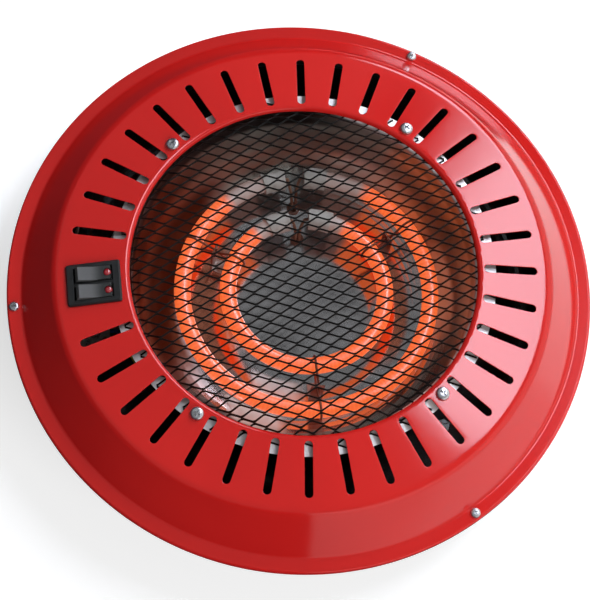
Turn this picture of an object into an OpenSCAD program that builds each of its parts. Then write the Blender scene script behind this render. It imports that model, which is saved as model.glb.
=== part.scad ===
// Electric brazier for standing under a table: a pressed cover with vent slots and an expanded-metal
// guard, two quartz heating rings in a reflector bowl, a base pan and a twin rocker switch.
// Millimetres, +Z up, origin on the floor under the centre, switch on the -X side.

/* [Cover] */
// Diameter over the turned edge of the brim
cover_d = 350; // [330:1:370]
// Thickness of the pressed sheets
sheet = 0.8; // [0.6:0.1:1]
// Distance from the turned edge to the foot of the wall
brim_w = 8.8; // [8.8:0.2:10]
// Depth of the turned edge
brim_drop = 4; // [3.4:0.2:6]
// Radius of the turned edge
brim_round = 1.6; // [1:0.2:1.6]
// Height of the wall
wall_h = 24.8; // [22:0.2:28]
// Horizontal run of the wall
wall_run = 20; // [16:1:24]
// Radius where the wall meets the brim
foot_round = 3; // [1.6:0.2:3]
// Radius where the wall meets the cone
shoulder_round = 9; // [5:1:12]
// Rise of the cone, from the shoulder to the opening
cone_rise = 6.2; // [4:0.2:8]
// Horizontal run of the cone, from the shoulder to the opening
cone_w = 44.2; // [44.2:0.2:48]
// Radius of the rolled lip
lip_round = 2.8; // [2:0.2:3]
// Depth of the rolled lip
lip_drop = 3.6; // [3.6:0.2:5]

/* [Vent slots] */
// Places for slots round the cone
slot_places = 36; // [28:4:40]
// Width of a slot
slot_w = 4.8; // [3:0.2:6]
// Length of a slot
slot_l = 32.1; // [20:0.5:34]
// Distance from the opening to the slots
slot_inset = 3.8; // [3.6:0.2:6]

/* [Guard] */
// Thickness of the expanded metal
guard_t = 0.8; // [0.6:0.1:1]
// Height of the guard above the foot of the lip
guard_rise = 2.8; // [1.5:0.1:4]
// Distance from the lip in to the guard's bend
guard_bend_in = 5; // [4:0.5:8]
// Distance from the lip out to the guard's edge
guard_margin = 12; // [11:0.5:13]
// Long diagonal of a mesh, between strand centres
mesh_l = 21.6; // [20.5:0.1:30]
// Short diagonal of a mesh, between strand centres
mesh_s = 13; // [12.5:0.1:18]
// Width of a strand
strand_w = 1.5; // [1:0.1:2]
// Turn of the long diagonal from the X axis
mesh_a = 4; // [0:1:30]

/* [Reflector] */
// Distance from the lip in to the bowl's mouth
bowl_in = 1; // [0.5:0.1:2]
// Lean of the bowl's wall, from its mouth in to its foot before the rounding
bowl_lean = 5; // [4:0.2:8]
// Radius of the rounding at the foot of the wall
bowl_round = 30; // [24:1:31]
// Distance from the lip out to the flange's edge
flange_margin = 11.6; // [10.6:0.2:13]

/* [Heating rings] */
// Distance from the bowl's mouth in to the outer ring's centre line
ring_in = 26; // [24:0.5:28]
// Distance between the two rings' centre lines
ring_pitch = 27.5; // [25:0.5:30]
// Diameter of the quartz tube
tube_d = 10; // [8:0.5:11]
// Wall of the quartz tube
tube_wall = 1; // [0.8:0.1:1.5]
// Height of the rings' centre line above the reflector floor
ring_h = 22; // [18:0.5:26]
// Offset of the rings away from the switch
ring_x = 4; // [0:0.5:5]
// Gap between the two caps of a ring
end_gap = 12; // [10:0.5:16]
// Length of a cap
cap_l = 14; // [10:1:18]
// Wall of a cap
cap_wall = 1.4; // [1.2:0.1:2]

/* [Tube holders] */
// Width of a post
post_w = 8; // [6:0.5:10]
// Thickness of a post
post_t = 1; // [0.8:0.1:1.5]
// Length of a post's foot
post_foot = 10; // [9:0.5:12]
// Diameter of the holder wire
wire_d = 1.5; // [1:0.1:2]
// Diameter of the rivet's shank
rivet_d = 3; // [2.4:0.2:3.6]

/* [Base pan] */
// Height of the feet
feet_h = 8; // [6:1:14]
// Diameter of a foot
foot_d = 24; // [20:1:28]
// Distance from the pan's wall in to the feet's middles
feet_in = 35; // [30:1:40]
// Height of the pan, from its underside to its flange
pan_h = 46; // [44:1:56]
// Distance from the brim's edge in to the pan's wall
pan_in = 25; // [22.5:0.5:27.5]
// Radius round the pan's floor
pan_round = 14; // [8:1:18]
// Free height between the pan's floor and the reflector
wiring_gap = 12.2; // [11:0.2:16]
// Number of vent slots in the floor
pan_vents = 24; // [12:1:30]
// Width of a vent slot in the floor
pan_vent_w = 4; // [3:0.5:5]
// Length of a vent slot in the floor
pan_vent_l = 28; // [20:1:34]
// Distance from the pan's wall in to the middle of the floor's vent slots
pan_vent_in = 75; // [70:1:80]

/* [Screws] */
// Diameter of the guard, foot and earth screws
screw_d = 4; // [3:0.5:4]
// Diameter of the rim screws and of the small inner screws
small_screw_d = 3; // [2:0.5:3]
// Clearance all round a screw in its hole
screw_gap = 0.25; // [0.1:0.05:0.4]
// Distance from the opening to the guard screws
guard_screw_out = 7.7; // [7:0.1:8]
// Angle of the guard screws from the X axis, moved to the nearest land between two slots
guard_screw_a = 50; // [40:5:60]
// Distance from the brim's edge to the rim screws
rim_screw_in = 4.2; // [4.2:0.1:4.4]
// Number of rim screws
rim_screws_n = 3; // [3:1:6]

/* [Switch] */
// Distance from the opening out to the switch's centre
switch_out = 20.9; // [20:0.1:22]
// Length of the bezel, along the radius
bezel_l = 31.9; // [31:0.1:34]
// Width of the bezel
bezel_w = 25.7; // [25:0.1:28]
// Thickness of the bezel
bezel_t = 2; // [1.5:0.1:3]
// Length of the switch body
body_l = 28.2; // [27:0.1:29]
// Width of the switch body
body_w = 23; // [22.4:0.1:24]
// Depth of the switch body
body_h = 18; // [16:0.5:22]
// Radius of a key's ends about its pivot
key_r = 11.2; // [10:0.1:11.6]
// Width of a key
key_w = 8.2; // [7.5:0.1:8.4]
// Distance between the two keys' centres
key_pitch = 10.9; // [10.6:0.1:11.4]
// Tilt of a key to each side
key_tilt = 8; // [5:0.5:9]
// Depth of the pivots below the bezel's face
pivot_depth = 4.5; // [4:0.1:6]
// Diameter of a key's pivot stubs
stub_d = 2.4; // [2:0.1:3]
// Clearance all round a pivot stub
stub_gap = 0.05; // [0.02:0.01:0.1]
// Diameter of the pilot lenses
lens_d = 4.4; // [3:0.1:5]
// Distance from a key's pivot to its lens
lens_in = 7.6; // [6:0.1:8]

/* [Inlet and wiring] */
// Diameter of the inlet's bore
inlet_bore_d = 7.2; // [6:0.2:9]
// Height of the inlet above the pan's underside
inlet_h = 24; // [22:1:26]
// Diameter of the inlet's thread
inlet_thread_d = 12; // [11:0.5:14]
// Diameter of the inner leads
lead_d = 2; // [1.6:0.1:2.2]
// Distance between the poles of the terminal block
pole_pitch = 9; // [8:0.5:10]
// Angle of the thermal cut-out round the pan
cutout_a = 150; // [140:1:155]
// Distance from the bowl's mouth out to the cut-out's bracket
cutout_out = 8; // [7:0.2:9]
// Angle of the earth screw round the pan
earth_a = 202; // [198:1:206]

/* [Hidden] */
$fn = 64;

// Sides of a swept lead or wire
lead_sides = 8;
// Overshoot of a cutter past the face that it cuts
over = 1;
// Play between pieces that seat on each other, and between loose neighbours
seat = 0.1;
loose = 0.3;

// Heights
pan_floor_z = feet_h + sheet;
rim_z = feet_h + pan_h + sheet;
bowl_floor_z = pan_floor_z + wiring_gap + sheet;
ring_z = bowl_floor_z + ring_h;

// The cover's radii, and its cone
cover_r = cover_d / 2;
wall_foot_r = cover_r - brim_w;
shoulder_r = wall_foot_r - wall_run;
opening_r = shoulder_r - cone_w;
cone_slope = cone_rise / cone_w;
cone_a = atan(cone_slope);
lip_z = rim_z + wall_h + cone_rise - lip_drop;
function cone_z(r) = rim_z + wall_h + (shoulder_r - r) * cone_slope;

// The radii that follow from the cover's
pan_r = cover_r - pan_in;
feet_r = pan_r - feet_in;
pan_vent_r = pan_r - pan_vent_in;
switch_r = opening_r + switch_out;
bowl_r = opening_r - bowl_in;
bowl_foot_r = bowl_r - bowl_lean;
outer_r = bowl_r - ring_in;
inner_r = outer_r - ring_pitch;

// The guard's margin and the reflector's flange lie parallel to the cone, below the lip
guard_r = opening_r + guard_margin;
flange_r = opening_r + flange_margin;
function margin_z(r) = lip_z - seat + (opening_r - r) * cone_slope;
function flange_z(r) = margin_z(r) - guard_t / cos(cone_a);

slot_pitch = 360 / slot_places;
slot_r = opening_r + slot_inset + slot_l / 2;
screw_land = slot_pitch * round(guard_screw_a / slot_pitch);
guard_screw_angles = [screw_land, 180 - screw_land, 180 + screw_land, -screw_land];
guard_screw_r = opening_r + guard_screw_out;
rim_screw_r = cover_r - rim_screw_in;
rim_screw_angles = [for (i = [0:rim_screws_n - 1]) 180 + i * 360 / rim_screws_n];
pan_flange_r = cover_r - brim_round - seat;

// Screw proportions
head_ratio = 2;
head_h_ratio = 0.6;
nut_ratio = 1.8;
nut_h_ratio = 0.75;
recess_ratio = 0.22;

// The switch, in its own frame on the cone: x outwards, z square to the cone
pivot_z = bezel_t - pivot_depth;
well_r = key_r + loose;
well_depth = 5.5;
switch_notch_r = switch_r - body_l / 2 - 2.5;
switch_notch_w = body_w + 3;
blade_w = 4.8;
blade_t = 0.8;
blade_l = 8;
blade_rows = [7.6, 0, -7.6];
socket_w = 6.4;
socket_t = 3;
socket_l = 10;
socket_back = 2;
socket_z = -body_h - blade_l - socket_back;

// Caps, coils and bushings
tube_r = tube_d / 2;
coil_r = tube_r - tube_wall - loose;
cap_r = tube_r + seat + cap_wall;
cap_end = 2;
bush_r = 3.2;
bush_flange_r = 4.2;
bush_bore_r = 2.5;
bush_drop = 2;
bush_places = [outer_r - 11, inner_r - 4.5];

// Tube holders
post_angles = [-90, 30, 150];
post_r = (outer_r + inner_r) / 2;
wire_r = wire_d / 2;
wire_turn_r = tube_r + loose + wire_r;
wire_pass = wire_r + seat;

// Inlet and terminal block
inlet_z = feet_h + inlet_h;
inlet_flange_r = inlet_thread_d / 2 + 3;
block_l = 18;
block_h = 13;
pole_r = 2.6;
pole_bore_r = 2.1;
pole_z = pan_floor_z + 6;
pole_ys = [1.5 * pole_pitch, 0.5 * pole_pitch, -0.5 * pole_pitch, -1.5 * pole_pitch];
block_w = 4 * pole_pitch + 1;
// Half the distance between two leads side by side in a pole
lead_beside = lead_d / 2 + seat / 2;
pan_flat_r = pan_r - sheet - pan_round;
block_x = block_l / 2 + loose - sqrt(pan_flat_r * pan_flat_r - block_w * block_w / 4);

// Thermal cut-out, in its own frame turned by cutout_a: x outwards
bracket_t = 1;
bracket_r = bowl_r + cutout_out;
bracket_w = 32;
bracket_h = 32;
bracket_foot = 16;
bracket_screw_r = bracket_r + bracket_t + bracket_foot / 2;
cutout_r = 7.6;
cutout_l = 9;
cutout_z = pan_floor_z + 20;
cutout_ear = 12;
cutout_blade_y = 4;

earth_place = (pan_flat_r - 27.5) * [cos(earth_a), sin(earth_a)];

// Small vector functions
function unit(v) = v / norm(v);
function left(v) = [-v[1], v[0]];
function turned(v, a) = [v[0] * cos(a) - v[1] * sin(a), v[0] * sin(a) + v[1] * cos(a)];
function bend(a, b) = sign(a[0] * b[1] - a[1] * b[0]);
function reversed(p) = [for (i = [len(p) - 1:-1:0]) p[i]];
function into(p, i) = unit(p[max(i, 1)] - p[max(i, 1) - 1]);
function out_of(p, i) = unit(p[min(i, len(p) - 2) + 1] - p[min(i, len(p) - 2)]);

// A path moved sideways by d, to the left of its direction
function shifted(p, d) = [
    for (i = [0:len(p) - 1])
        p[i] + d * (left(into(p, i)) + left(out_of(p, i))) / (1 + into(p, i) * out_of(p, i))
];

// The arc of radius r that rounds the corner between directions a and b at point p
function corner(p, a, b, r) =
    let (s = bend(a, b), sweep = acos(a * b), arm = left(a) * r * s, n = ceil(sweep * sqrt(r) / 35),
        centre = p - a * r * tan(sweep / 2) + arm)
    [for (k = [0:n]) centre - turned(arm, s * sweep * k / n)];

// A path with each corner rounded by its own radius
function rounded(p, r) = [
    for (i = [0:len(p) - 1])
        each r[i] > 0 ? corner(p[i], into(p, i), out_of(p, i), r[i]) : [p[i]]
];

// The section of a bent sheet of thickness t, whose seen face follows the path p
function sheet_section(p, r, t) =
    let (back = [for (i = [0:len(p) - 1]) r[i] > 0 ? r[i] - t * bend(into(p, i), out_of(p, i)) : 0])
    concat(rounded(p, r), reversed(rounded(shifted(p, t), back)));

// A frame on the cone at angle a and radius r, with z square to the cone and x outwards
module on_cone(a, r, z = 0) {
    rotate([0, 0, a])
        translate([r, 0, cone_z(r)])
            rotate([0, cone_a, 0])
                translate([0, 0, z]) children();
}

module at_switch() {
    on_cone(180, switch_r) children();
}

module slot2d(l, w) {
    square([l - w, w], center = true);
    for (s = [-1, 1]) translate([s * (l - w) / 2, 0]) circle(w / 2);
}

// Pan-head screw with a cross recess, seated on z = 0 with its shank downwards
module screw(d, l) {
    head_r = d * head_ratio / 2;
    head_h = d * head_h_ratio;
    difference() {
        rotate_extrude()
            polygon(rounded([[0, head_h], [head_r, head_h], [head_r, 0], [0, 0]],
                [0, head_h * 0.7, 0, 0]));
        for (q = [0, 90])
            rotate([0, 0, q])
                translate([0, 0, head_h])
                    cube([d * 1.1, d * recess_ratio, head_h], center = true);
    }
    translate([0, 0, -l]) cylinder(d = d, h = l);
}

// Hexagon nut with its upper face on z = 0
module nut(d) {
    translate([0, 0, -d * nut_h_ratio])
        difference() {
            cylinder(d = d * nut_ratio / cos(30), h = d * nut_h_ratio, $fn = 6);
            translate([0, 0, -over]) cylinder(r = d / 2 + seat / 2, h = d * nut_h_ratio + 2 * over);
        }
}

// Pressed cover: turned edge, brim, wall, cone and rolled lip
cover_path = [
    [cover_r, rim_z - brim_drop], [cover_r, rim_z], [wall_foot_r, rim_z],
    [shoulder_r, rim_z + wall_h], [opening_r, cone_z(opening_r)], [opening_r, lip_z]
];
cover_rounds = [0, brim_round, foot_round, shoulder_round, lip_round, 0];

// A slot is left out where it would run into the switch
function slot_clear(a) = abs(sin(a)) * (slot_r - slot_l / 2) > bezel_w / 2 + slot_w / 2 + 1 || cos(a) > 0;

module top_cover() {
    color("crimson")
    difference() {
        rotate_extrude() polygon(sheet_section(cover_path, cover_rounds, sheet));
        for (i = [0:slot_places - 1])
            if (slot_clear((i + 0.5) * slot_pitch))
                rotate([0, 0, (i + 0.5) * slot_pitch])
                    translate([slot_r, 0, rim_z + wall_h - 2 * sheet])
                        linear_extrude(cone_rise + 4 * sheet) slot2d(slot_l, slot_w);
        for (a = guard_screw_angles)
            on_cone(a, guard_screw_r, -2 * sheet) cylinder(r = screw_d / 2 + screw_gap, h = 4 * sheet);
        for (a = rim_screw_angles)
            rotate([0, 0, a])
                translate([rim_screw_r, 0, rim_z - 2 * sheet])
                    cylinder(r = small_screw_d / 2 + screw_gap, h = 4 * sheet);
        at_switch() cube([body_l + 2 * seat, body_w + 2 * seat, 6 * sheet], center = true);
    }
}

// Expanded-metal guard: a shallow tray with diamond meshes, clamped under the lip
guard_path = [
    [guard_r, margin_z(guard_r)], [opening_r - 2, margin_z(opening_r - 2)],
    [opening_r - guard_bend_in, lip_z + guard_rise], [0, lip_z + guard_rise]
];
guard_rounds = [0, 1.5, 1.5, 0];
mesh_edge = mesh_l * mesh_s / 2 / norm([mesh_l, mesh_s]);
mesh_open = 1 - strand_w / 2 / mesh_edge;
// Half diagonals of an opening, and the share of it that the knuckles close
open_l = mesh_l / 2 * mesh_open;
open_s = mesh_s / 2 * mesh_open;
knuckle = 0.12;
mesh_pad = 8;
mesh_hem = 1.5;
mesh_cell = [
    for (s = [1, -1])
        each [[s * open_l * (1 - knuckle), -s * open_s * knuckle],
            [s * open_l * (1 - knuckle), s * open_s * knuckle], [0, s * open_s]]
];

function mesh_kept(c) =
    let (corners = [for (q = mesh_cell) c + turned(q, mesh_a)])
    max([for (q = corners) norm(q)]) < guard_r - mesh_hem
    && min([for (a = guard_screw_angles) norm(c - guard_screw_r * [cos(a), sin(a)])]) > mesh_pad
    && len([for (q = corners)
        if (q[0] < -switch_notch_r + mesh_hem && abs(q[1]) < switch_notch_w / 2 + mesh_hem) q]) == 0;

mesh_rows = ceil(guard_r / mesh_s) + 1;
mesh_columns = ceil(guard_r / mesh_l) + 1;
mesh_centres = [
    for (i = [-mesh_columns:mesh_columns], j = [-mesh_rows:mesh_rows], h = [0, 0.5])
        let (c = turned([(i + h) * mesh_l, (j + h) * mesh_s], mesh_a))
        if (mesh_kept(c)) c
];

module guard_mesh() {
    color("black")
    difference() {
        rotate_extrude() polygon(sheet_section(guard_path, guard_rounds, guard_t));
        translate([0, 0, margin_z(guard_r) - 2 * guard_t])
            linear_extrude(guard_rise + cone_rise + 4 * guard_t)
                for (c = mesh_centres)
                    translate(c) rotate(mesh_a) polygon(mesh_cell);
        for (a = guard_screw_angles)
            on_cone(a, guard_screw_r, -3 * screw_d) cylinder(r = screw_d / 2 + screw_gap, h = 4 * screw_d);
        switch_notch();
    }
}

module switch_notch() {
    translate([-cover_r - switch_notch_r, -switch_notch_w / 2, bowl_floor_z + bowl_round])
        cube([cover_r, switch_notch_w, 2 * cover_r]);
}

// Reflector bowl with its flange
reflector_path = [
    [flange_r, flange_z(flange_r)], [bowl_r, flange_z(bowl_r)],
    [bowl_foot_r, bowl_floor_z], [0, bowl_floor_z]
];
reflector_rounds = [0, 2, bowl_round, 0];

module reflector() {
    color("gainsboro")
    difference() {
        rotate_extrude() polygon(sheet_section(reflector_path, reflector_rounds, sheet));
        for (a = guard_screw_angles)
            on_cone(a, guard_screw_r, -4 * screw_d) cylinder(r = screw_d / 2 + screw_gap, h = 5 * screw_d);
        switch_notch();
        for (y = bush_places)
            translate([ring_x, y, bowl_floor_z - 2 * sheet])
                cylinder(r = bush_r + seat / 2, h = 4 * sheet);
        at_posts()
            translate([-post_foot / 2, 0, bowl_floor_z - 2 * sheet])
                cylinder(r = rivet_d / 2 + seat / 2, h = 4 * sheet);
    }
}

// Quartz rings, coils and caps
function gap_angle(r, l) = (end_gap / 2 + l) / r * 180 / PI;

// A ring-shaped rod of radius q on a ring of radius r, from l past the caps' end faces
module ring_rod(r, q, l) {
    translate([ring_x, 0, ring_z])
        rotate([0, 0, 90 + gap_angle(r, l)])
            rotate_extrude(angle = 360 - 2 * gap_angle(r, l)) translate([r, 0]) circle(q);
}

module quartz_tube(r) {
    start = gap_angle(r, cap_end + seat);
    color("orangered")
    translate([ring_x, 0, ring_z])
        rotate([0, 0, 90 + start])
            rotate_extrude(angle = 360 - 2 * start)
                translate([r, 0])
                    difference() {
                        circle(tube_r);
                        circle(tube_r - tube_wall);
                    }
}

module heating_coil(r) {
    color("orange") ring_rod(r, coil_r, cap_end + loose);
}

module tube_caps(r) {
    start = gap_angle(r, 0);
    sweep = cap_l / r * 180 / PI;
    wall = cap_end / r * 180 / PI;
    color("linen")
    translate([ring_x, 0, ring_z])
        for (s = [0, 1])
            mirror([s, 0, 0])
                difference() {
                    rotate([0, 0, 90 + start])
                        rotate_extrude(angle = sweep) translate([r, 0]) circle(cap_r);
                    rotate([0, 0, 90 + start + wall])
                        rotate_extrude(angle = sweep) translate([r, 0]) circle(tube_r + seat);
                    rotate([0, 0, 90 + start])
                        translate([r, 0, 0])
                            rotate([90, 0, 0])
                                cylinder(r = lead_d / 2 + seat, h = 4 * cap_end, center = true);
                }
}

module outer_tube() { quartz_tube(outer_r); }
module inner_tube() { quartz_tube(inner_r); }
module outer_coil() { heating_coil(outer_r); }
module inner_coil() { heating_coil(inner_r); }
module outer_caps() { tube_caps(outer_r); }
module inner_caps() { tube_caps(inner_r); }

module lead_bushings() {
    color("saddlebrown")
    for (y = bush_places)
        translate([ring_x, y, bowl_floor_z])
            difference() {
                union() {
                    cylinder(r = bush_flange_r, h = 1.2);
                    translate([0, 0, -sheet - bush_drop]) cylinder(r = bush_r, h = sheet + bush_drop);
                }
                translate([0, 0, -sheet - bush_drop - over])
                    cylinder(r = bush_bore_r, h = sheet + bush_drop + 1.2 + 2 * over);
            }
}

// Holders: posts on the reflector's floor, and a wire through each post round both rings
module at_posts() {
    for (a = post_angles)
        translate([ring_x, 0, 0]) rotate([0, 0, a]) translate([post_r, 0, 0]) children();
}

module holder_posts() {
    post_top = ring_z + 2 * wire_d;
    color("silver")
    at_posts()
        difference() {
            union() {
                translate([-post_t / 2, -post_w / 2, bowl_floor_z])
                    cube([post_t, post_w, post_top - bowl_floor_z]);
                translate([-post_foot, -post_w / 2, bowl_floor_z]) cube([post_foot, post_w, post_t]);
            }
            translate([0, 0, ring_z])
                rotate([0, 90, 0]) cylinder(r = wire_pass + wire_r + loose, h = 4 * post_t, center = true);
            translate([-post_foot / 2, 0, bowl_floor_z - over])
                cylinder(r = rivet_d / 2 + seat / 2, h = post_t + 2 * over);
        }
}

// The turn of a holder wire round a ring at distance d from the post, which starts at the top
function wire_turn(d) =
    let (touch = 180 - acos(wire_turn_r / abs(d)), n = 12)
    [
        for (k = [0:n])
            let (a = touch * (1 - 2 * k / n))
            [d + sign(d) * wire_turn_r * cos(a), 0, wire_turn_r * sin(a)]
    ];

// A figure of eight through the post, whose two passes lie side by side in its hole
function wire_path() =
    let (o = wire_turn(outer_r - post_r), i = wire_turn(inner_r - post_r), n = len(o) - 1,
        y = [0, wire_pass, 0])
    concat([o[0] * 0.02 - y, (o[0] - y) / 2], o, [(o[n] + y) / 2, y, (i[0] + y) / 2], i,
        [(i[n] - y) / 2, i[n] * 0.02 - y]);

module holder_wires() {
    color("dimgray")
    at_posts() translate([0, 0, ring_z]) swept(wire_path(), wire_r);
}

module holder_rivets() {
    color("silver")
    at_posts()
        translate([-post_foot / 2, 0, bowl_floor_z]) {
            translate([0, 0, post_t])
                rotate_extrude()
                    polygon(rounded([[0, 1.2], [rivet_d, 1.2], [rivet_d, 0], [0, 0]], [0, 1, 0, 0]));
            translate([0, 0, -sheet]) cylinder(d = rivet_d, h = post_t + sheet);
            translate([0, 0, -sheet - 1]) cylinder(r = rivet_d * 0.8, h = 1);
        }
}

// Base pan
pan_path = [
    [pan_flange_r, rim_z - sheet], [pan_r - sheet, rim_z - sheet],
    [pan_r - sheet, pan_floor_z], [0, pan_floor_z]
];
pan_rounds = [0, 3, pan_round, 0];

module at_feet() {
    for (a = [45:90:315]) rotate([0, 0, a]) translate([feet_r, 0, 0]) children();
}

module base_pan() {
    color("dimgray")
    difference() {
        rotate_extrude() polygon(sheet_section(pan_path, pan_rounds, sheet));
        for (i = [0:pan_vents - 1])
            rotate([0, 0, (i + 0.5) * 360 / pan_vents])
                translate([pan_vent_r, 0, feet_h - over])
                    linear_extrude(sheet + 2 * over) slot2d(pan_vent_l, pan_vent_w);
        at_feet() floor_hole(screw_d);
        for (a = rim_screw_angles)
            rotate([0, 0, a])
                translate([rim_screw_r, 0, rim_z - 3 * sheet])
                    cylinder(r = small_screw_d / 2 + screw_gap, h = 4 * sheet);
        translate([-pan_r - over, 0, inlet_z])
            rotate([0, 90, 0]) cylinder(d = inlet_thread_d + 2 * seat, h = pan_round);
        at_block_screws() floor_hole(small_screw_d);
        translate(earth_place) floor_hole(screw_d);
        at_cutout() translate([bracket_screw_r, 0, 0]) floor_hole(small_screw_d);
    }
}

module floor_hole(d) {
    translate([0, 0, feet_h - over]) cylinder(r = d / 2 + screw_gap, h = sheet + 2 * over);
}

module feet() {
    color("black")
    at_feet()
        difference() {
            rotate_extrude()
                polygon(rounded([[0, 0], [foot_d / 2 - 1.5, 0], [foot_d / 2, feet_h], [0, feet_h]],
                    [0, 1.5, 0, 0]));
            translate([0, 0, -over]) cylinder(r = screw_d / 2 + screw_gap, h = feet_h + 2 * over);
            translate([0, 0, -over]) cylinder(r = screw_d * head_ratio / 2 + 1, h = feet_h / 2 + over);
        }
}

module foot_screws() {
    color("silver")
    at_feet()
        translate([0, 0, feet_h / 2]) mirror([0, 0, 1]) screw(screw_d, feet_h / 2 + sheet + screw_d);
}

module foot_nuts() {
    color("silver")
    at_feet() translate([0, 0, pan_floor_z + screw_d * nut_h_ratio]) nut(screw_d);
}

// Screws that clamp the guard and the reflector under the cover
module guard_screws() {
    color("silver")
    for (a = guard_screw_angles)
        on_cone(a, guard_screw_r, seat) screw(screw_d, guard_stack + screw_d + seat);
}

// Depth from the cone's face to the reflector flange's underside, square to the cone
guard_stack = (cone_z(guard_screw_r) - flange_z(guard_screw_r)) * cos(cone_a) + sheet;

module guard_nuts() {
    color("silver")
    for (a = guard_screw_angles)
        on_cone(a, guard_screw_r, -guard_stack - seat) nut(screw_d);
}

module at_rim_screws() {
    for (a = rim_screw_angles) rotate([0, 0, a]) translate([rim_screw_r, 0, 0]) children();
}

module rim_screws() {
    color("silver")
    at_rim_screws() translate([0, 0, rim_z]) screw(small_screw_d, 2 * sheet + small_screw_d);
}

module rim_nuts() {
    color("silver")
    at_rim_screws() translate([0, 0, rim_z - 2 * sheet]) rotate([0, 0, 30]) nut(small_screw_d);
}

// Twin switch: housing with bezel, divider, pivot holes and snap wedges
module switch_housing() {
    window_w = key_pitch + key_w + 2 * loose;
    color([0.1, 0.11, 0.11])
    at_switch()
        difference() {
            union() {
                hull()
                    for (x = [-1, 1], y = [-1, 1]) {
                        translate([x * (bezel_l / 2 - 1.5), y * (bezel_w / 2 - 1.5), 0])
                            cylinder(r = 1.5, h = bezel_t / 2, $fn = 32);
                        translate([x * (bezel_l / 2 - 1.5), y * (bezel_w / 2 - 1.5), 0])
                            cylinder(r = 0.7, h = bezel_t, $fn = 32);
                    }
                translate([-body_l / 2, -body_w / 2, -body_h])
                    cube([body_l, body_w, body_h + bezel_t / 2]);
                for (s = [0, 1])
                    mirror([s, 0, 0])
                        translate([body_l / 2, body_w / 4, -sheet - seat])
                            rotate([90, 0, 0])
                                linear_extrude(body_w / 2) polygon([[-1, 0], [0.8, 0], [0, -6], [-1, -6]]);
            }
            difference() {
                translate([-well_r, -window_w / 2, pivot_z - well_depth])
                    cube([2 * well_r, window_w, well_depth + pivot_depth + over]);
                translate([-well_r, -key_pitch / 2 + key_w / 2 + loose, pivot_z - well_depth])
                    cube([2 * well_r, key_pitch - key_w - 2 * loose, well_depth + pivot_depth - 1]);
            }
            translate([0, 0, pivot_z])
                rotate([90, 0, 0])
                    cylinder(d = stub_d + 2 * stub_gap, h = window_w + 2, center = true);
        }
}

// A key about its pivot: ends struck from the pivot, a shallow V on top, a hub and two stubs
module key(side) {
    face_h = pivot_depth + 0.5;
    rise = tan(key_tilt);
    stub_l = key_w + 2 * loose + 1.6;
    at_switch()
        translate([0, side * key_pitch / 2, pivot_z])
            rotate([0, -key_tilt, 0])
                difference() {
                    rotate([90, 0, 0]) {
                        linear_extrude(key_w, center = true)
                            intersection() {
                                circle(key_r);
                                polygon([
                                    [-key_r, face_h + key_r * rise], [0, face_h],
                                    [key_r, face_h + key_r * rise], [key_r, 1],
                                    [4, -3], [-4, -3], [-key_r, 1]
                                ]);
                            }
                        cylinder(d = stub_d, h = stub_l, center = true);
                    }
                    translate([-lens_in, 0, face_h + lens_in * rise])
                        rotate([0, key_tilt, 0])
                            translate([0, 0, -1.5]) cylinder(d = lens_d + 2 * seat, h = 4);
                }
}

module lens(side) {
    face_h = pivot_depth + 0.5;
    rise = tan(key_tilt);
    color("red")
    at_switch()
        translate([0, side * key_pitch / 2, pivot_z])
            rotate([0, -key_tilt, 0])
                translate([-lens_in, 0, face_h + lens_in * rise])
                    rotate([0, key_tilt, 0])
                        translate([0, 0, -1.5])
                            rotate_extrude()
                                polygon(rounded([[0, 2], [lens_d / 2, 2], [lens_d / 2, 0], [0, 0]],
                                    [0, 0.6, 0, 0]));
}

module outer_rocker() { color([0.16, 0.16, 0.16]) key(-1); }
module inner_rocker() { color([0.16, 0.16, 0.16]) key(1); }
module outer_lens() { lens(-1); }
module inner_lens() { lens(1); }

module at_blades() {
    at_switch()
        for (x = blade_rows, s = [-1, 1]) translate([x, s * key_pitch / 2, 0]) children();
}

module switch_blades() {
    color("gold")
    at_blades()
        translate([-blade_t / 2, -blade_w / 2, -body_h - blade_l])
            cube([blade_t, blade_w, blade_l]);
}

// Push-on socket round a blade that ends at z = 0, with its lead end below it
module blade_socket() {
    difference() {
        translate([-socket_t / 2, -socket_w / 2, -socket_back]) cube([socket_t, socket_w, socket_l - 1]);
        translate([-blade_t / 2 - seat, -blade_w / 2 - seat, 0])
            cube([blade_t + 2 * seat, blade_w + 2 * seat, socket_l]);
    }
}

module blade_sockets() {
    color("ivory") {
        at_blades() translate([0, 0, -body_h - blade_l]) blade_socket();
        at_cutout_blades() blade_socket();
    }
}

// Mains inlet in the pan's wall
module cord_gland() {
    collar_l = 9;
    color("black")
    translate([-pan_r, 0, inlet_z])
        rotate([0, -90, 0])
            difference() {
                union() {
                    translate([0, 0, seat / 2])
                        rotate_extrude()
                            polygon(rounded([[0, 0], [inlet_flange_r, 0], [inlet_flange_r, 4],
                                [inlet_flange_r - 2.5, collar_l], [0, collar_l]], [0, 0, 1, 1.5, 0]));
                    translate([0, 0, -8]) cylinder(d = inlet_thread_d, h = 10);
                }
                translate([0, 0, -8 - over]) cylinder(d = inlet_bore_d, h = 8 + collar_l + 3 * over);
            }
}

module gland_nut() {
    nut_r = inlet_flange_r + 1;
    color("black")
    translate([seat - sqrt((pan_r - sheet) * (pan_r - sheet) - nut_r * nut_r), 0, inlet_z])
        rotate([0, 90, 0])
            difference() {
                cylinder(r = nut_r, h = 4, $fn = 6);
                translate([0, 0, -over]) cylinder(d = inlet_thread_d + seat, h = 4 + 2 * over);
            }
}

// Terminal block and its brass inserts
module at_block_screws() {
    for (s = [-1, 1]) translate([block_x, s * pole_pitch, 0]) children();
}

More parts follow.
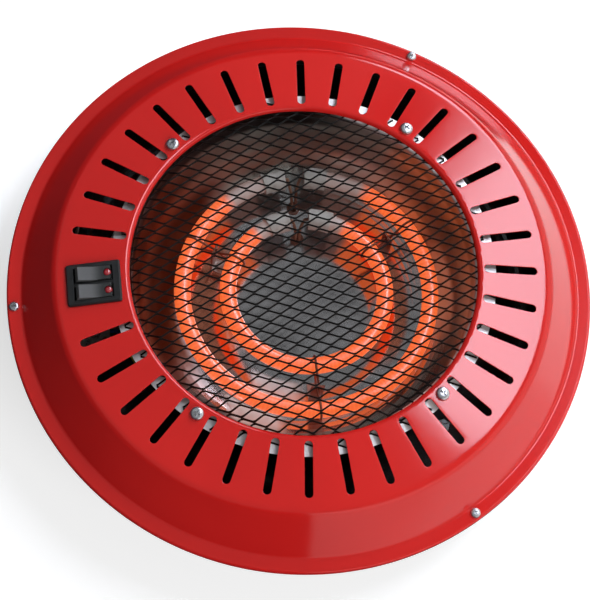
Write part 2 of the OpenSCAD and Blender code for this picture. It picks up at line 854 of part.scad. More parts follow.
module terminal_block() {
    color("ivory")
    difference() {
        translate([block_x - block_l / 2, -block_w / 2, pan_floor_z]) cube([block_l, block_w, block_h]);
        for (y = pole_ys)
            translate([block_x, y, pole_z]) {
                rotate([0, 90, 0]) cylinder(r = pole_r + seat / 2, h = block_l + 2 * over, center = true);
                for (x = [-5, 5]) translate([x, 0, 0]) cylinder(r = 1.9, h = block_h);
            }
        at_block_screws() {
            translate([0, 0, pan_floor_z - over])
                cylinder(r = small_screw_d / 2 + screw_gap, h = block_h + 2 * over);
            translate([0, 0, pan_floor_z + block_h - 3]) cylinder(r = small_screw_d + seat, h = 3 + over);
        }
    }
}

module terminal_inserts() {
    color("gold")
    for (y = pole_ys)
        translate([block_x, y, pole_z])
            difference() {
                rotate([0, 90, 0]) cylinder(r = pole_r, h = block_l - 2, center = true);
                rotate([0, 90, 0]) cylinder(r = pole_bore_r, h = block_l, center = true);
                for (x = [-5, 5]) translate([x, 0, 0]) cylinder(r = 1.05, h = block_h);
            }
}

module terminal_screws() {
    color("silver")
    for (y = pole_ys, x = [-5, 5])
        translate([block_x + x, y, pole_z + pole_bore_r])
            difference() {
                union() {
                    cylinder(r = 1, h = 3);
                    translate([0, 0, 1]) cylinder(r = 1.7, h = 2);
                }
                translate([-2, -0.25, 2.2]) cube([4, 0.5, 2]);
            }
}

module block_screws() {
    color("silver")
    at_block_screws() {
        translate([0, 0, pan_floor_z + block_h - 3])
            screw(small_screw_d, block_h - 3 + sheet + small_screw_d);
        translate([0, 0, feet_h]) nut(small_screw_d);
    }
}

// Thermal cut-out on its bracket, facing the bowl
module at_cutout() {
    rotate([0, 0, cutout_a]) children();
}

module at_cutout_ears() {
    at_cutout()
        for (s = [-1, 1])
            translate([bracket_r + bracket_t, s * cutout_ear, cutout_z]) rotate([0, 90, 0]) children();
}

module at_cutout_blades() {
    at_cutout()
        for (s = [-1, 1])
            translate([bracket_r + bracket_t + cutout_l + blade_l, s * cutout_blade_y, cutout_z])
                rotate([0, -90, 0]) rotate([0, 0, 90]) children();
}

module cutout_bracket() {
    color("silver")
    difference() {
        at_cutout()
            difference() {
                union() {
                    translate([bracket_r, -bracket_w / 2, pan_floor_z])
                        cube([bracket_t, bracket_w, bracket_h]);
                    translate([bracket_r, -bracket_w / 4, pan_floor_z])
                        cube([bracket_foot, bracket_w / 2, bracket_t]);
                }
                translate([bracket_r, 0, cutout_z])
                    rotate([0, 90, 0]) cylinder(r = cutout_r + loose, h = 4 * bracket_t, center = true);
                translate([bracket_screw_r, 0, pan_floor_z - over])
                    cylinder(r = small_screw_d / 2 + screw_gap, h = bracket_t + 2 * over);
            }
        at_cutout_ears() cylinder(r = small_screw_d / 2 + screw_gap, h = 4 * bracket_t, center = true);
    }
}

module cutout_cap() {
    color("gainsboro")
    at_cutout()
        translate([bracket_r + bracket_t, 0, cutout_z])
            rotate([0, -90, 0])
                rotate_extrude()
                    polygon(rounded([[0, 5], [cutout_r, 5], [cutout_r, 0], [0, 0]], [0, 1, 0, 0]));
}

module cutout_body() {
    color("saddlebrown")
    difference() {
        at_cutout()
            translate([bracket_r + bracket_t, 0, cutout_z])
                rotate([0, 90, 0]) {
                    cylinder(r = cutout_r + 0.6, h = cutout_l);
                    translate([0, 0, 0.5])
                        cube([8, 2 * cutout_ear + 7, 1], center = true);
                }
        at_cutout_ears() cylinder(r = small_screw_d / 2 + screw_gap, h = 6, center = true);
    }
}

module cutout_blades() {
    color("gold")
    at_cutout_blades() translate([-blade_t / 2, -blade_w / 2, 0]) cube([blade_t, blade_w, blade_l]);
}

module cutout_screws() {
    color("silver") {
        at_cutout_ears() {
            translate([0, 0, 1]) screw(small_screw_d, 1 + bracket_t + small_screw_d);
            translate([0, 0, -bracket_t]) nut(small_screw_d);
        }
        at_cutout()
            translate([bracket_screw_r, 0, pan_floor_z]) {
                translate([0, 0, bracket_t]) screw(small_screw_d, bracket_t + sheet + small_screw_d);
                translate([0, 0, -sheet]) nut(small_screw_d);
            }
    }
}

// Earth point: screw, ring lug and nut
module earth_screw() {
    color("silver")
    translate([earth_place[0], earth_place[1], pan_floor_z]) {
        translate([0, 0, 1 + seat / 2]) screw(screw_d, 1 + sheet + screw_d);
        difference() {
            cylinder(r = screw_d, h = 1);
            translate([0, 0, -over]) cylinder(r = screw_d / 2 + screw_gap, h = 1 + 2 * over);
        }
        translate([0, 0, -sheet]) nut(screw_d);
    }
}

// Inner leads, swept along smooth curves through points set by hand
function curve_point(a, b, c, d, t) =
    0.5 * (2 * b + (c - a) * t + (2 * a - 5 * b + 4 * c - d) * t * t
        + (3 * b - a - 3 * c + d) * t * t * t);

function curve(p) = [
    for (i = [0:len(p) - 2])
        let (n = ceil(norm(p[i + 1] - p[i]) / (3 * lead_d)))
        for (k = [0:i == len(p) - 2 ? n : n - 1])
            curve_point(p[max(i - 1, 0)], p[i], p[i + 1], p[min(i + 2, len(p) - 1)], k / n)
];

function course(p, i) = unit(p[min(i + 1, len(p) - 1)] - p[max(i - 1, 0)]);
function square_to(v, t) = unit(v - (v * t) * t);
function sides(p, i, v) =
    i == len(p) ? [] : let (w = square_to(v, course(p, i))) concat([w], sides(p, i + 1, w));

// A round rod of radius r along the points of p
module swept(p, r) {
    v = sides(p, 0, abs(course(p, 0)[2]) > 0.7 ? [1, 0, 0] : [0, 0, 1]);
    n = lead_sides;
    rings = [
        for (i = [0:len(p) - 1], k = [0:n - 1])
            p[i] + r * (cos(k * 360 / n) * v[i] + sin(k * 360 / n) * cross(course(p, i), v[i]))
    ];
    walls = [
        for (i = [0:len(p) - 2], k = [0:n - 1])
            let (a = i * n + k, b = i * n + (k + 1) % n)
            each [[a, a + n, b + n], [a, b + n, b]]
    ];
    polyhedron(rings, concat([[for (k = [0:n - 1]) k]], walls,
        [[for (k = [n - 1:-1:0]) (len(p) - 1) * n + k]]));
}

module lead(points) {
    swept(curve(points), lead_d / 2);
}

// The point at distance l past a cap's end face, on the side s of the rings' gap
function ring_end(r, s, l) =
    [ring_x + s * r * sin(gap_angle(r, l)), r * cos(gap_angle(r, l)), ring_z];

// A point of a lead's course, at a share of the floor's radius and at angle a
function spot(share, a, z) = [share * pan_flat_r * cos(a), share * pan_flat_r * sin(a), z];

// From a coil's end out of its cap, down through the bushing at y, to the height z under the bowl
function tail(r, s, y, z) =
    let (x = ring_x + s * 1.2, drop = bowl_floor_z - sheet - bush_drop)
    [
        ring_end(r, s, cap_end + seat), ring_end(r, s, 0), ring_end(r, s, -2) + [0, 0, -0.5],
        [ring_x + s * 1.6, y + (r - y) * 0.6, ring_z - 10], [x, y, bowl_floor_z + 4],
        [x, y, drop + 0.5], [x - 0.7, y, (drop + z) / 2], [x - 5, y, z]
    ];

// The end of the lead that hangs from a switch blade's socket, in row i on side s
function switch_point(i, s, z) =
    let (x = switch_r + blade_rows[i] * cos(cone_a) + z * sin(cone_a),
        h = cone_z(switch_r) - blade_rows[i] * sin(cone_a) + z * cos(cone_a))
    [-x, -s * key_pitch / 2, h];

function pole_point(i, x, dy = 0) = [block_x + x, pole_ys[i] + dy, pole_z];

upper_lane = bowl_floor_z - sheet - bush_drop - 3.2;
lower_lane = pan_floor_z + lead_d / 2 + 1.2;

// The last stretch up to a switch blade's socket, and the last stretch into a pole
function up_to_switch(i, s) = [for (z = [16, 6, 3, 0]) switch_point(i, s, socket_z - z)];
function into_pole(i, dy = 0) = [for (x = [4, 0.5, -4]) pole_point(i, block_l / 2 + x, dy)];

module outer_ring_leads() {
    color("sienna") {
        lead(concat(tail(outer_r, -1, bush_places[0], upper_lane), [
            spot(0.578, 129.8, upper_lane), spot(0.742, 156.5, upper_lane),
            spot(0.817, 170.6, upper_lane + 4.5 * lead_d)
        ], up_to_switch(1, -1)));
        lead(concat(tail(outer_r, 1, bush_places[0], lower_lane), [
            spot(0.544, 132.8, lower_lane), spot(0.664, 163.2, lower_lane),
            spot(0.749, 176, lower_lane + 0.75 * lead_d)
        ], into_pole(1)));
    }
}

module inner_ring_leads() {
    color("sienna") {
        lead(concat(tail(inner_r, -1, bush_places[1], upper_lane), [
            spot(0.398, 138, upper_lane), spot(0.626, 173.2, upper_lane),
            spot(0.792, 181.6, upper_lane + 4 * lead_d)
        ], up_to_switch(1, 1)));
        lead(concat(tail(inner_r, 1, bush_places[1], lower_lane), [
            spot(0.37, 143.1, lower_lane), spot(0.621, 178.6, lower_lane),
            spot(0.747, 181.7, lower_lane + 0.75 * lead_d)
        ], into_pole(2, lead_beside)));
    }
}

// The point at distance x from the end of a cut-out blade's socket, on side s
function cutout_point(s, x, dz = 0) =
    let (r = bracket_r + bracket_t + cutout_l + blade_l + socket_back + x,
        q = turned([r, s * cutout_blade_y], cutout_a))
    [q[0], q[1], cutout_z + dz];

module supply_leads() {
    color("brown") {
        lead(concat(reversed(into_pole(0)), [
            spot(0.806, 168.9, lower_lane + lead_d), spot(0.859, 163, lower_lane + 0.75 * lead_d),
            spot(0.994, 160.9, lower_lane + 2.5 * lead_d), cutout_point(1, 6, -3), cutout_point(1, 3),
            cutout_point(1, 1), cutout_point(1, 0)
        ]));
        lead(concat([cutout_point(-1, 0), cutout_point(-1, 1), cutout_point(-1, 4, 2)],
            [spot(1.035, 158.2, rim_z - 5 * lead_d), spot(0.998, 168, rim_z - 6.5 * lead_d)],
            [for (z = [7, 3, 0]) switch_point(0, -1, socket_z - z)]));
    }
}

module lamp_leads() {
    color("navy")
    lead(concat([for (z = [0, 2, 6]) switch_point(2, 1, socket_z - z)],
        [spot(0.806, 187.9, lower_lane + 12 * lead_d), spot(0.79, 187, lower_lane + 4.5 * lead_d)],
        into_pole(2, -lead_beside)));
}

module earth_lead() {
    end = [earth_place[0], earth_place[1] + screw_d, pan_floor_z + lead_d / 2 + seat];
    color("olivedrab")
    lead(concat(reversed(into_pole(3)), [
        spot(0.792, 191.3, lower_lane + lead_d), end + [0, 4 * lead_d, 0], end + [0, lead_d, 0], end
    ]));
}

top_cover();
guard_mesh();
reflector();
base_pan();
feet();
foot_screws();
foot_nuts();
guard_screws();
guard_nuts();
rim_screws();
rim_nuts();
outer_tube();
inner_tube();
outer_coil();
inner_coil();
outer_caps();
inner_caps();
lead_bushings();
holder_posts();
holder_wires();
holder_rivets();
outer_ring_leads();
inner_ring_leads();
supply_leads();
lamp_leads();
earth_lead();
switch_housing();
outer_rocker();
inner_rocker();
outer_lens();
inner_lens();
switch_blades();
blade_sockets();
cord_gland();
gland_nut();
terminal_block();
terminal_inserts();
terminal_screws();
block_screws();
cutout_bracket();
cutout_cap();
cutout_body();
cutout_blades();
cutout_screws();
earth_screw();
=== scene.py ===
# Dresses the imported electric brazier: enamel cover, expanded-metal guard, glowing rings and twin switch
import math

import bmesh
import bpy
from mathutils import Matrix, Vector


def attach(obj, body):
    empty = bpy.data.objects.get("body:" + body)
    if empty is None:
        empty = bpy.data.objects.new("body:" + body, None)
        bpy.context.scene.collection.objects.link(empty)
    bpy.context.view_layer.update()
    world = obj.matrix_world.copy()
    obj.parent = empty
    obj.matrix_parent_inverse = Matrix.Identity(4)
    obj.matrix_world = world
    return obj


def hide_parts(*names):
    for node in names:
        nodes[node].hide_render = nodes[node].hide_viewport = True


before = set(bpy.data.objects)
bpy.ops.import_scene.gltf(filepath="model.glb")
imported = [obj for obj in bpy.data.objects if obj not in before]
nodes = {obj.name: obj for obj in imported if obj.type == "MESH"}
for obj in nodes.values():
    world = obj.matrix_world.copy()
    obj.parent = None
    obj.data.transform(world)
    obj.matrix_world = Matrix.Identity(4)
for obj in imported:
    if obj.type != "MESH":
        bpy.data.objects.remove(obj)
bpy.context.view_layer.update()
scene = bpy.context.scene
mm = 0.001
print("frame loaded:", len(nodes), "nodes")


# sums on sockets, for materials and for geometry trees
class Wire:  # an output socket; + - * / on it add Math nodes
    def __init__(self, graph, socket):
        self.graph, self.socket = graph, socket

    def at(self, name):
        return Wire(self.graph, self.socket.node.outputs[name])

    def calc(self, operation, *terms):
        return self.graph.add("ShaderNodeMath", {"operation": operation}, dict(enumerate(terms)))

    def __add__(self, other):
        return self.calc("ADD", self, other)

    def __sub__(self, other):
        return self.calc("SUBTRACT", self, other)

    def __mul__(self, other):
        return self.calc("MULTIPLY", self, other)

    def __truediv__(self, other):
        return self.calc("DIVIDE", self, other)

    def __rsub__(self, other):
        return self.calc("SUBTRACT", other, self)

    __radd__ = __add__
    __rmul__ = __mul__

    def sin(self):
        return self.calc("SINE", self)

    def abs(self):
        return self.calc("ABSOLUTE", self)

    def below(self, limit):
        return self.calc("LESS_THAN", self, limit)

    def above(self, limit):
        return self.calc("GREATER_THAN", self, limit)

    def hypot(self, other):
        return self.calc("SQRT", self * self + other * other)

    def ease(self, start, end):  # 0 up to start, 1 from end on, smooth between
        return self.graph.add("ShaderNodeMapRange", {"interpolation_type": "SMOOTHSTEP"},
                              {"Value": self, "From Min": start, "From Max": end})

    def fade(self, start, end):  # 1 up to start, 0 from end on
        return 1 - self.ease(start, end)

    def band(self, start, full, last, end):  # 1 from full to last, 0 outside start and end
        return self.ease(start, full) * self.fade(last, end)


class Graph:  # a node tree; add() makes any node: settings first, then its sockets
    def __init__(self, tree):
        self.tree = tree
        tree.nodes.clear()

    def add(self, kind, settings=None, sockets=None, out=0):
        node = self.tree.nodes.new(kind)
        for name, value in (settings or {}).items():
            setattr(node, name, value)
        for name, value in (sockets or {}).items():
            if isinstance(value, Wire):
                self.tree.links.new(value.socket, node.inputs[name])
            else:
                node.inputs[name].default_value = value
        return Wire(self, node.outputs[out]) if node.outputs else node

    def axes(self, vector):
        split = self.add("ShaderNodeSeparateXYZ", {}, {0: vector})
        return split.at("X"), split.at("Y"), split.at("Z")


class Finish(Graph):  # a material with the patterns that several finishes share
    def __init__(self, name):
        self.material = bpy.data.materials.new(name)
        self.material.use_nodes = True
        super().__init__(self.material.node_tree)
        self.place = self.add("ShaderNodeTexCoord", out="Object")

    def noise(self, scale, detail=2.0, rough=0.5):
        return self.add("ShaderNodeTexNoise", {}, {
            "Vector": self.place, "Scale": scale, "Detail": detail, "Roughness": rough})

    def blend(self, share, first, second):
        return self.add("ShaderNodeMix", {"data_type": "RGBA"}, {
            0: share, 6: first if isinstance(first, Wire) else (*first, 1),
            7: second if isinstance(second, Wire) else (*second, 1)}, out=2)

    def bump(self, height, depth):
        return self.add("ShaderNodeBump", {}, {"Height": height, "Distance": depth})

    def finish(self, **sockets):
        named = {name.replace("_", " "): value for name, value in sockets.items()}
        for name in ("Base Color", "Emission Color"):
            if name in named and not isinstance(named[name], Wire):
                named[name] = (*named[name], 1)
        shader = self.add("ShaderNodeBsdfPrincipled", {}, named)
        self.add("ShaderNodeOutputMaterial", {}, {"Surface": shader})
        return self.material


enamel = {
    "red": (0.60, 0.0135, 0.0105), "deep": (0.55, 0.0115, 0.0092), "cloudScale": 9.0, "cloud": (0.35, 0.70),
    "dustScale": 1500.0, "dust": (0.70, 0.78), "roughness": 0.10, "cloudRough": 0.05, "dustRough": 0.12,
    "peelScale": 210.0, "peelDepth": 0.000018, "waveScale": 26.0, "waveDepth": 0.00010,
}


def redEnamel():
    f = Finish("redEnamel")
    cloud = f.noise(enamel["cloudScale"], 3.0)
    dust = f.noise(enamel["dustScale"], 1.0).ease(*enamel["dust"])
    waves = f.noise(enamel["waveScale"], 1.0) * enamel["waveDepth"]
    peel = f.noise(enamel["peelScale"], 1.0) * enamel["peelDepth"]
    return f.finish(
        Base_Color=f.blend(cloud.ease(*enamel["cloud"]), enamel["deep"], enamel["red"]),
        Roughness=enamel["roughness"] + enamel["cloudRough"] * cloud + enamel["dustRough"] * dust,
        Normal=f.bump(waves + peel, 1.0))


# reflector tones, several of them painted reflections and painted shade; zones in metres: two numbers from
# nothing to full, four for a band
reflector = {
    "steel": ((0.46, 0.46, 0.46), (0.60, 0.60, 0.60)), "bright": ((0.82, 0.82, 0.82), (0.92, 0.92, 0.92)),
    "cool": ((0.54, 0.55, 0.50), (0.68, 0.69, 0.64)), "warm": ((0.40, 0.140, 0.068), (0.60, 0.25, 0.135)),
    "ringGlow": (0.72, 0.25, 0.15), "shadedFoot": (0.10, 0.030, 0.014), "mouthShade": (0.020, 0.012, 0.010),
    "pale": (0.80, 0.94, 0.94), "ringScale": 900.0, "wallRingScale": 500.0, "ringDepth": 0.0000025,
    "waveScale": 11.0, "waveDepth": 0.0005, "smokeScale": 30.0, "dish": (0.044, 0.064), "dishDepth": 0.0027,
    "toRight": (0.010, 0.050), "toLeft": (0.030, 0.055), "flange": (0.1035, 0.1050), "flangeShift": 0.0032,
    "brightFront": (-0.088, -0.066), "lane": (0.048, 0.052, 0.066, 0.070), "ringGlowSides": (0.030, 0.045),
    "ringGlowBack": (-0.050, -0.030), "warmToCool": (-0.030, 0.070), "brownBack": (-0.070, -0.020),
    "brownOut": (0.068, 0.077), "wall": (0.026, 0.048), "wallShift": 0.012, "wallFront": (-0.085, -0.050),
    "shadedFootTop": (0.030, 0.042), "mouthShadeFrom": (0.0660, 0.0720), "gleamBack": (-0.045, -0.035),
    "gleamRight": (-0.010, 0.002), "gleamLane": (-0.036, -0.030),
    "gleamOutside": (-0.054, -0.044, -0.024, -0.010), "outsideRing": (0.070, 0.074),
    "outsideTop": (0.0255, 0.0290), "side": (0.055, 0.070), "sideAlong": (-0.040, -0.010, 0.005, 0.035),
    "sideRing": (0.080, 0.084), "sideTop": (0.0340, 0.0380), "polish": 0.10, "smoky": (0.45, 0.75),
    "rougher": {"smoke": 0.06, "groove": 0.03, "wall": 0.18, "flange": 0.12, "shadedFoot": 0.35, "paintedGleam": 0.15},
}


def spunSteel():  # the reflector: mirror-bright, with the fine rings and shallow waves of pressing
    f = Finish("spunSteel")
    x, y, z = f.axes(f.place)
    ring = x.hypot(y)
    spun = ring * reflector["ringScale"] + z * reflector["wallRingScale"]
    groove = f.add("ShaderNodeTexNoise", {"noise_dimensions": "1D"}, {"W": spun, "Detail": 2.0})
    waves = f.noise(reflector["waveScale"], 1.0)
    smoke = f.noise(reflector["smokeScale"], 4.0, 0.6)
    right, left = x.ease(*reflector["toRight"]), (0 - x).ease(*reflector["toLeft"])

    def tone(name):  # clouded between the two tones of that name
        return f.blend(smoke, *reflector[name])

    # the floor: painted brighter at the very front as a reflection, with a painted copper glow of the rings
    # between them
    bright, lane = tone("bright"), ring.band(*reflector["lane"])
    ringGlow = lane * x.abs().ease(*reflector["ringGlowSides"]) * y.ease(*reflector["ringGlowBack"])
    floorTone = f.blend(y.fade(*reflector["brightFront"]), tone("steel"), bright)
    floorTone = f.blend(ringGlow, floorTone, reflector["ringGlow"])

    # the wall: its warm and cool tints are painted reflections, with painted dark shade at its left foot and
    # painted shade near its mouth
    wallReflection = f.blend((x + y).ease(*reflector["warmToCool"]), tone("warm"), tone("cool"))
    # the back, outside the rings: there the painted wall tint reaches lower and the painted dark foot lies
    browned = y.ease(*reflector["brownBack"]) * ring.ease(*reflector["brownOut"])
    shift = browned - y.fade(*reflector["wallFront"])
    wall = (z + reflector["wallShift"] * shift).ease(*reflector["wall"])
    shadedFoot = browned * left * z.fade(*reflector["shadedFootTop"])
    # painted shade on the upper wall, half as strong on the lit right
    mouthShade = z.ease(*reflector["mouthShadeFrom"]) * (1 - 0.5 * right)
    bowl = f.blend(shadedFoot, f.blend(wall, floorTone, wallReflection), reflector["shadedFoot"])
    bowl = f.blend(mouthShade, bowl, reflector["mouthShade"])

    # painted pale reflections, made matt and less metallic: at the front left between the rings and outside
    # them, and on the right side
    low = y.fade(*reflector["gleamBack"]) * x.fade(*reflector["gleamRight"])
    between = low * x.ease(*reflector["gleamLane"]) * lane
    outside = low * x.band(*reflector["gleamOutside"])
    outside = outside * ring.ease(*reflector["outsideRing"]) * z.fade(*reflector["outsideTop"])
    side = x.ease(*reflector["side"]) * y.band(*reflector["sideAlong"])
    side = side * ring.ease(*reflector["sideRing"]) * z.fade(*reflector["sideTop"])
    paintedGleam = 0.8 * between + outside + 0.9 * side

    # the pale flange starts further in on the lit right: a painted highlight there
    flange = (ring + reflector["flangeShift"] * right).ease(*reflector["flange"])
    dish = ring.ease(*reflector["dish"]) * reflector["dishDepth"] * (1 - 0.65 * left)
    layers = {"smoke": smoke.ease(*reflector["smoky"]), "groove": groove, "wall": wall, "flange": flange,
              "shadedFoot": shadedFoot, "paintedGleam": paintedGleam}
    rough = reflector["polish"]
    for name, layer in layers.items():
        rough = rough + reflector["rougher"][name] * layer
    return f.finish(
        Base_Color=f.blend(flange, f.blend(paintedGleam, bowl, reflector["pale"]), bright),
        Metallic=1.0 - 0.6 * flange - 0.9 * paintedGleam,
        Roughness=rough,
        Normal=f.bump(groove * reflector["ringDepth"] + waves * reflector["waveDepth"] + dish, 1.0))


paint = {"thick": (0.0035, 0.0035, 0.003), "thin": (0.010, 0.009, 0.008), "wornScale": 160.0,
         "worn": (0.62, 0.80), "grainScale": 900.0, "grainDepth": 0.00006, "gloss": 0.16}


def blackPaint():  # on the guard: satin, with spots where it is thin
    f = Finish("blackPaint")
    grain = f.noise(paint["grainScale"], 2.0)
    worn = f.noise(paint["wornScale"], 2.0).ease(*paint["worn"])
    return f.finish(
        Base_Color=f.blend(worn, paint["thick"], paint["thin"]), Roughness=0.45 + 0.16 * grain,
        Normal=f.bump(grain, paint["grainDepth"]), Specular_IOR_Level=paint["gloss"])


def glowingQuartz(radius):  # a milky tube, lit by the turns of the coil in it and cold at its two ends
    f = Finish("glowingQuartz%d" % round(radius / mm))
    x, y, z = f.axes(f.place)
    x = x - glow["offset"]
    turn = x.calc("ARCTAN2", x, y)
    roundTube = x.calc("ARCTAN2", z - glow["height"], x.hypot(y) - radius)
    coil = (turn * (radius * 2 * math.pi / glow["pitch"]) + roundTube).sin() * 0.5 + 0.5
    hot = turn.abs().ease(math.radians(glow["coldTo"]), math.radians(glow["hotFrom"]))
    cloud = f.noise(glow["cloudScale"], 2.0)
    light = f.blend(coil * 0.75 + cloud * 0.25, glow["between"], glow["coil"])
    return f.finish(
        Base_Color=f.blend(hot, glow["milk"], glow["hotGlass"]), Roughness=0.28 + 0.10 * cloud,
        Emission_Color=f.blend(hot, glow["cold"], light), Emission_Strength=glow["strength"],
        Normal=f.bump(cloud, 0.00006), Specular_IOR_Level=1.0,
        Coat_Weight=0.4 + 0.6 * hot, Coat_Roughness=0.36, Coat_IOR=1.8)


# clouds of the given scale between two tones, with a fine grain in the roughness and the bump
def speckled(name, dark, light, scale, rough=(0.4, 0.6), metal=0.0, depth=0.00003, grain=900.0, **more):
    f = Finish(name)
    cloud, fine = f.noise(scale, 4.0, 0.6), f.noise(grain, 2.0)
    return f.finish(
        Base_Color=f.blend(cloud.ease(0.3, 0.7), dark, light), Metallic=metal,
        Roughness=rough[0] + (rough[1] - rough[0]) * fine, Normal=f.bump(fine, depth), **more)


# the key's paler outer tone is a painted reflection; the clouds and grain are its own
keyGrainAndSheen = {"outer": (0.105, 0.106, 0.107), "inner": (0.026, 0.028, 0.028), "fade": (-0.1245, -0.1165),
           "ragged": 0.0015, "cloudScale": 240.0, "grainScale": 2600.0, "grainDepth": 0.000025}


def keyPlastic():  # paler at the outer end, a painted reflection on its raised half
    f = Finish("keyPlastic")
    x = f.axes(f.place)[0]
    cloud, fine = f.noise(keyGrainAndSheen["cloudScale"], 4.0, 0.6), f.noise(keyGrainAndSheen["grainScale"], 2.0)
    inwards = (x + keyGrainAndSheen["ragged"] * cloud).ease(*keyGrainAndSheen["fade"])
    return f.finish(
        Base_Color=f.blend(inwards, keyGrainAndSheen["outer"], keyGrainAndSheen["inner"]),
        Roughness=0.20 + 0.10 * fine, Normal=f.bump(fine, keyGrainAndSheen["grainDepth"]))


sleeve = {"dark": (0.13, 0.06, 0.04), "light": (0.30, 0.17, 0.11), "pitch": 0.0009, "depth": 0.00012}


def brownBraid():  # a woven glass-fibre sleeve
    f = Finish("brownSleeve")
    x, y, z = f.axes(f.place)
    turns = 2 * math.pi / sleeve["pitch"]
    weave = ((x + y + z) * turns).sin() * ((x + z - y) * turns).sin() * 0.5 + 0.5
    return f.finish(Base_Color=f.blend(weave, sleeve["dark"], sleeve["light"]),
                    Roughness=0.7 + 0.15 * weave, Normal=f.bump(weave, sleeve["depth"]))


earth = {"green": (0.02, 0.20, 0.035), "yellow": (0.62, 0.52, 0.02), "stripes": 900.0, "yellowFrom": 0.35,
         "grainScale": 900.0, "grainDepth": 0.00002}


def stripedGreen():  # the earth lead
    f = Finish("stripedGreen")
    x, y, z = f.axes(f.place)
    band = ((x - y + z * 2.0) * earth["stripes"]).sin().above(earth["yellowFrom"])
    fine = f.noise(earth["grainScale"])
    return f.finish(Base_Color=f.blend(band, earth["green"], earth["yellow"]),
                    Roughness=0.35 + 0.1 * fine, Normal=f.bump(fine, earth["grainDepth"]))


holder = {"cool": (0.42, 0.38, 0.35), "browned": (0.26, 0.10, 0.065), "hot": (0.026, 0.045), "ragged": 0.006,
          "stainScale": 220.0, "stainDepth": 0.00004}


def heatedSteel():  # the tube holders, browned by the heat towards the rings
    f = Finish("heatedSteel")
    z = f.axes(f.place)[2]
    stain = f.noise(holder["stainScale"], 3.0)
    hot = (z + holder["ragged"] * stain).ease(*holder["hot"])
    return f.finish(Base_Color=f.blend(hot, holder["cool"], holder["browned"]), Metallic=0.85,
                    Roughness=0.38 + 0.2 * stain, Normal=f.bump(stain, holder["stainDepth"]))


glow = {
    "outerRadius": 75.0 * mm, "innerRadius": 47.5 * mm, "offset": 4.0 * mm, "height": 43.8 * mm,
    "pitch": 2.4 * mm, "coldTo": 31.0, "hotFrom": 38.0, "strength": 1.0, "between": (0.84, 0.100, 0.017),
    "coil": (1.0, 0.185, 0.042), "cold": (0.10, 0.045, 0.035), "milk": (0.42, 0.39, 0.37),
    "hotGlass": (0.22, 0.035, 0.012), "cloudScale": 70.0,
}

finishes = {
    "red_enamel": redEnamel(),
    "guard_black": blackPaint(),
    "bright_steel": spunSteel(),
    "black_enamel": speckled("blackEnamel", (0.012, 0.012, 0.013), (0.022, 0.022, 0.023), 22.0, (0.16, 0.3),
                             depth=0.00004, grain=420.0, Coat_Weight=0.5, Coat_Roughness=0.1),
    "zinc": speckled("zincPlate", (0.50, 0.51, 0.52), (0.78, 0.79, 0.80), 190.0, (0.2, 0.38), 1.0),
    "holder_steel": heatedSteel(),
    "coil_wire": speckled("hotWire", (0.9, 0.3, 0.08), (1.0, 0.42, 0.12), 300.0,
                          Emission_Color=(1.0, 0.3, 0.07), Emission_Strength=1.2),
    "white_ceramic": speckled("whiteCeramic", (0.38, 0.36, 0.33), (0.52, 0.50, 0.47), 130.0, (0.45, 0.7),
                              depth=0.00008),
    "brown_ceramic": speckled("brownCeramic", (0.10, 0.045, 0.03), (0.17, 0.08, 0.05), 140.0, (0.3, 0.5)),
    "cutout_metal": speckled("cutoutMetal", (0.55, 0.55, 0.54), (0.75, 0.75, 0.74), 120.0, (0.2, 0.35), 1.0),
    "brass": speckled("brass", (0.62, 0.42, 0.15), (0.80, 0.58, 0.24), 160.0, (0.2, 0.4), 1.0),
    "socket_sleeve": speckled("socketSleeve", (0.50, 0.48, 0.42), (0.62, 0.60, 0.54), 90.0, (0.25, 0.4)),
    "foot_rubber": speckled("footRubber", (0.011, 0.011, 0.011), (0.022, 0.022, 0.022), 160.0, (0.6, 0.85),
                            depth=0.0001),
    "housing_plastic": speckled("housingPlastic", (0.007, 0.008, 0.0082), (0.013, 0.014, 0.0145), 300.0,
                                (0.32, 0.46), depth=0.00004, grain=2200.0),
    "key_plastic": keyPlastic(),
    "pilot_red": speckled("pilotRed", (0.26, 0.006, 0.010), (0.36, 0.012, 0.018), 260.0, (0.06, 0.12),
                          Emission_Color=(0.5, 0.01, 0.02), Emission_Strength=0.10, Coat_Weight=1.0,
                          Coat_IOR=2.0),
    "inlet_plastic": speckled("inletPlastic", (0.011, 0.011, 0.012), (0.019, 0.019, 0.020), 220.0,
                              (0.35, 0.5)),
    "brown_sleeve": brownBraid(),
    "brown_lead": speckled("brownLead", (0.10, 0.04, 0.02), (0.13, 0.055, 0.03), 200.0, (0.3, 0.45)),
    "blue_lead": speckled("blueLead", (0.02, 0.05, 0.22), (0.03, 0.07, 0.28), 200.0, (0.3, 0.45)),
    "earth_green": stripedGreen(),
}
ringQuartz = {
    "outer_tube": glowingQuartz(glow["outerRadius"]), "inner_tube": glowingQuartz(glow["innerRadius"])}

slotOf = {}
for name, node in nodes.items():
    slotOf[name] = node.data.materials[0].name.split(".")[0]
    node.data.materials.clear()
    node.data.materials.append(ringQuartz.get(name) or finishes[slotOf[name]])
print("materials made:", len(bpy.data.materials))


joinWithin = 0.002 * mm


def meshPiece(name, points, faces):
    mesh = bpy.data.meshes.new(name)
    mesh.from_pydata([Vector(p) * mm for p in points], [], faces)
    mesh.update()
    piece = bpy.data.objects.new(name, mesh)
    scene.collection.objects.link(piece)
    return piece


def smooth(piece):
    piece.data.polygons.foreach_set("use_smooth", [True] * len(piece.data.polygons))
    piece.data.update()


def stand(piece, node, body="body"):  # the piece rides on the body and stands for the CAD node
    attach(piece, body)
    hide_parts(node)
    return piece


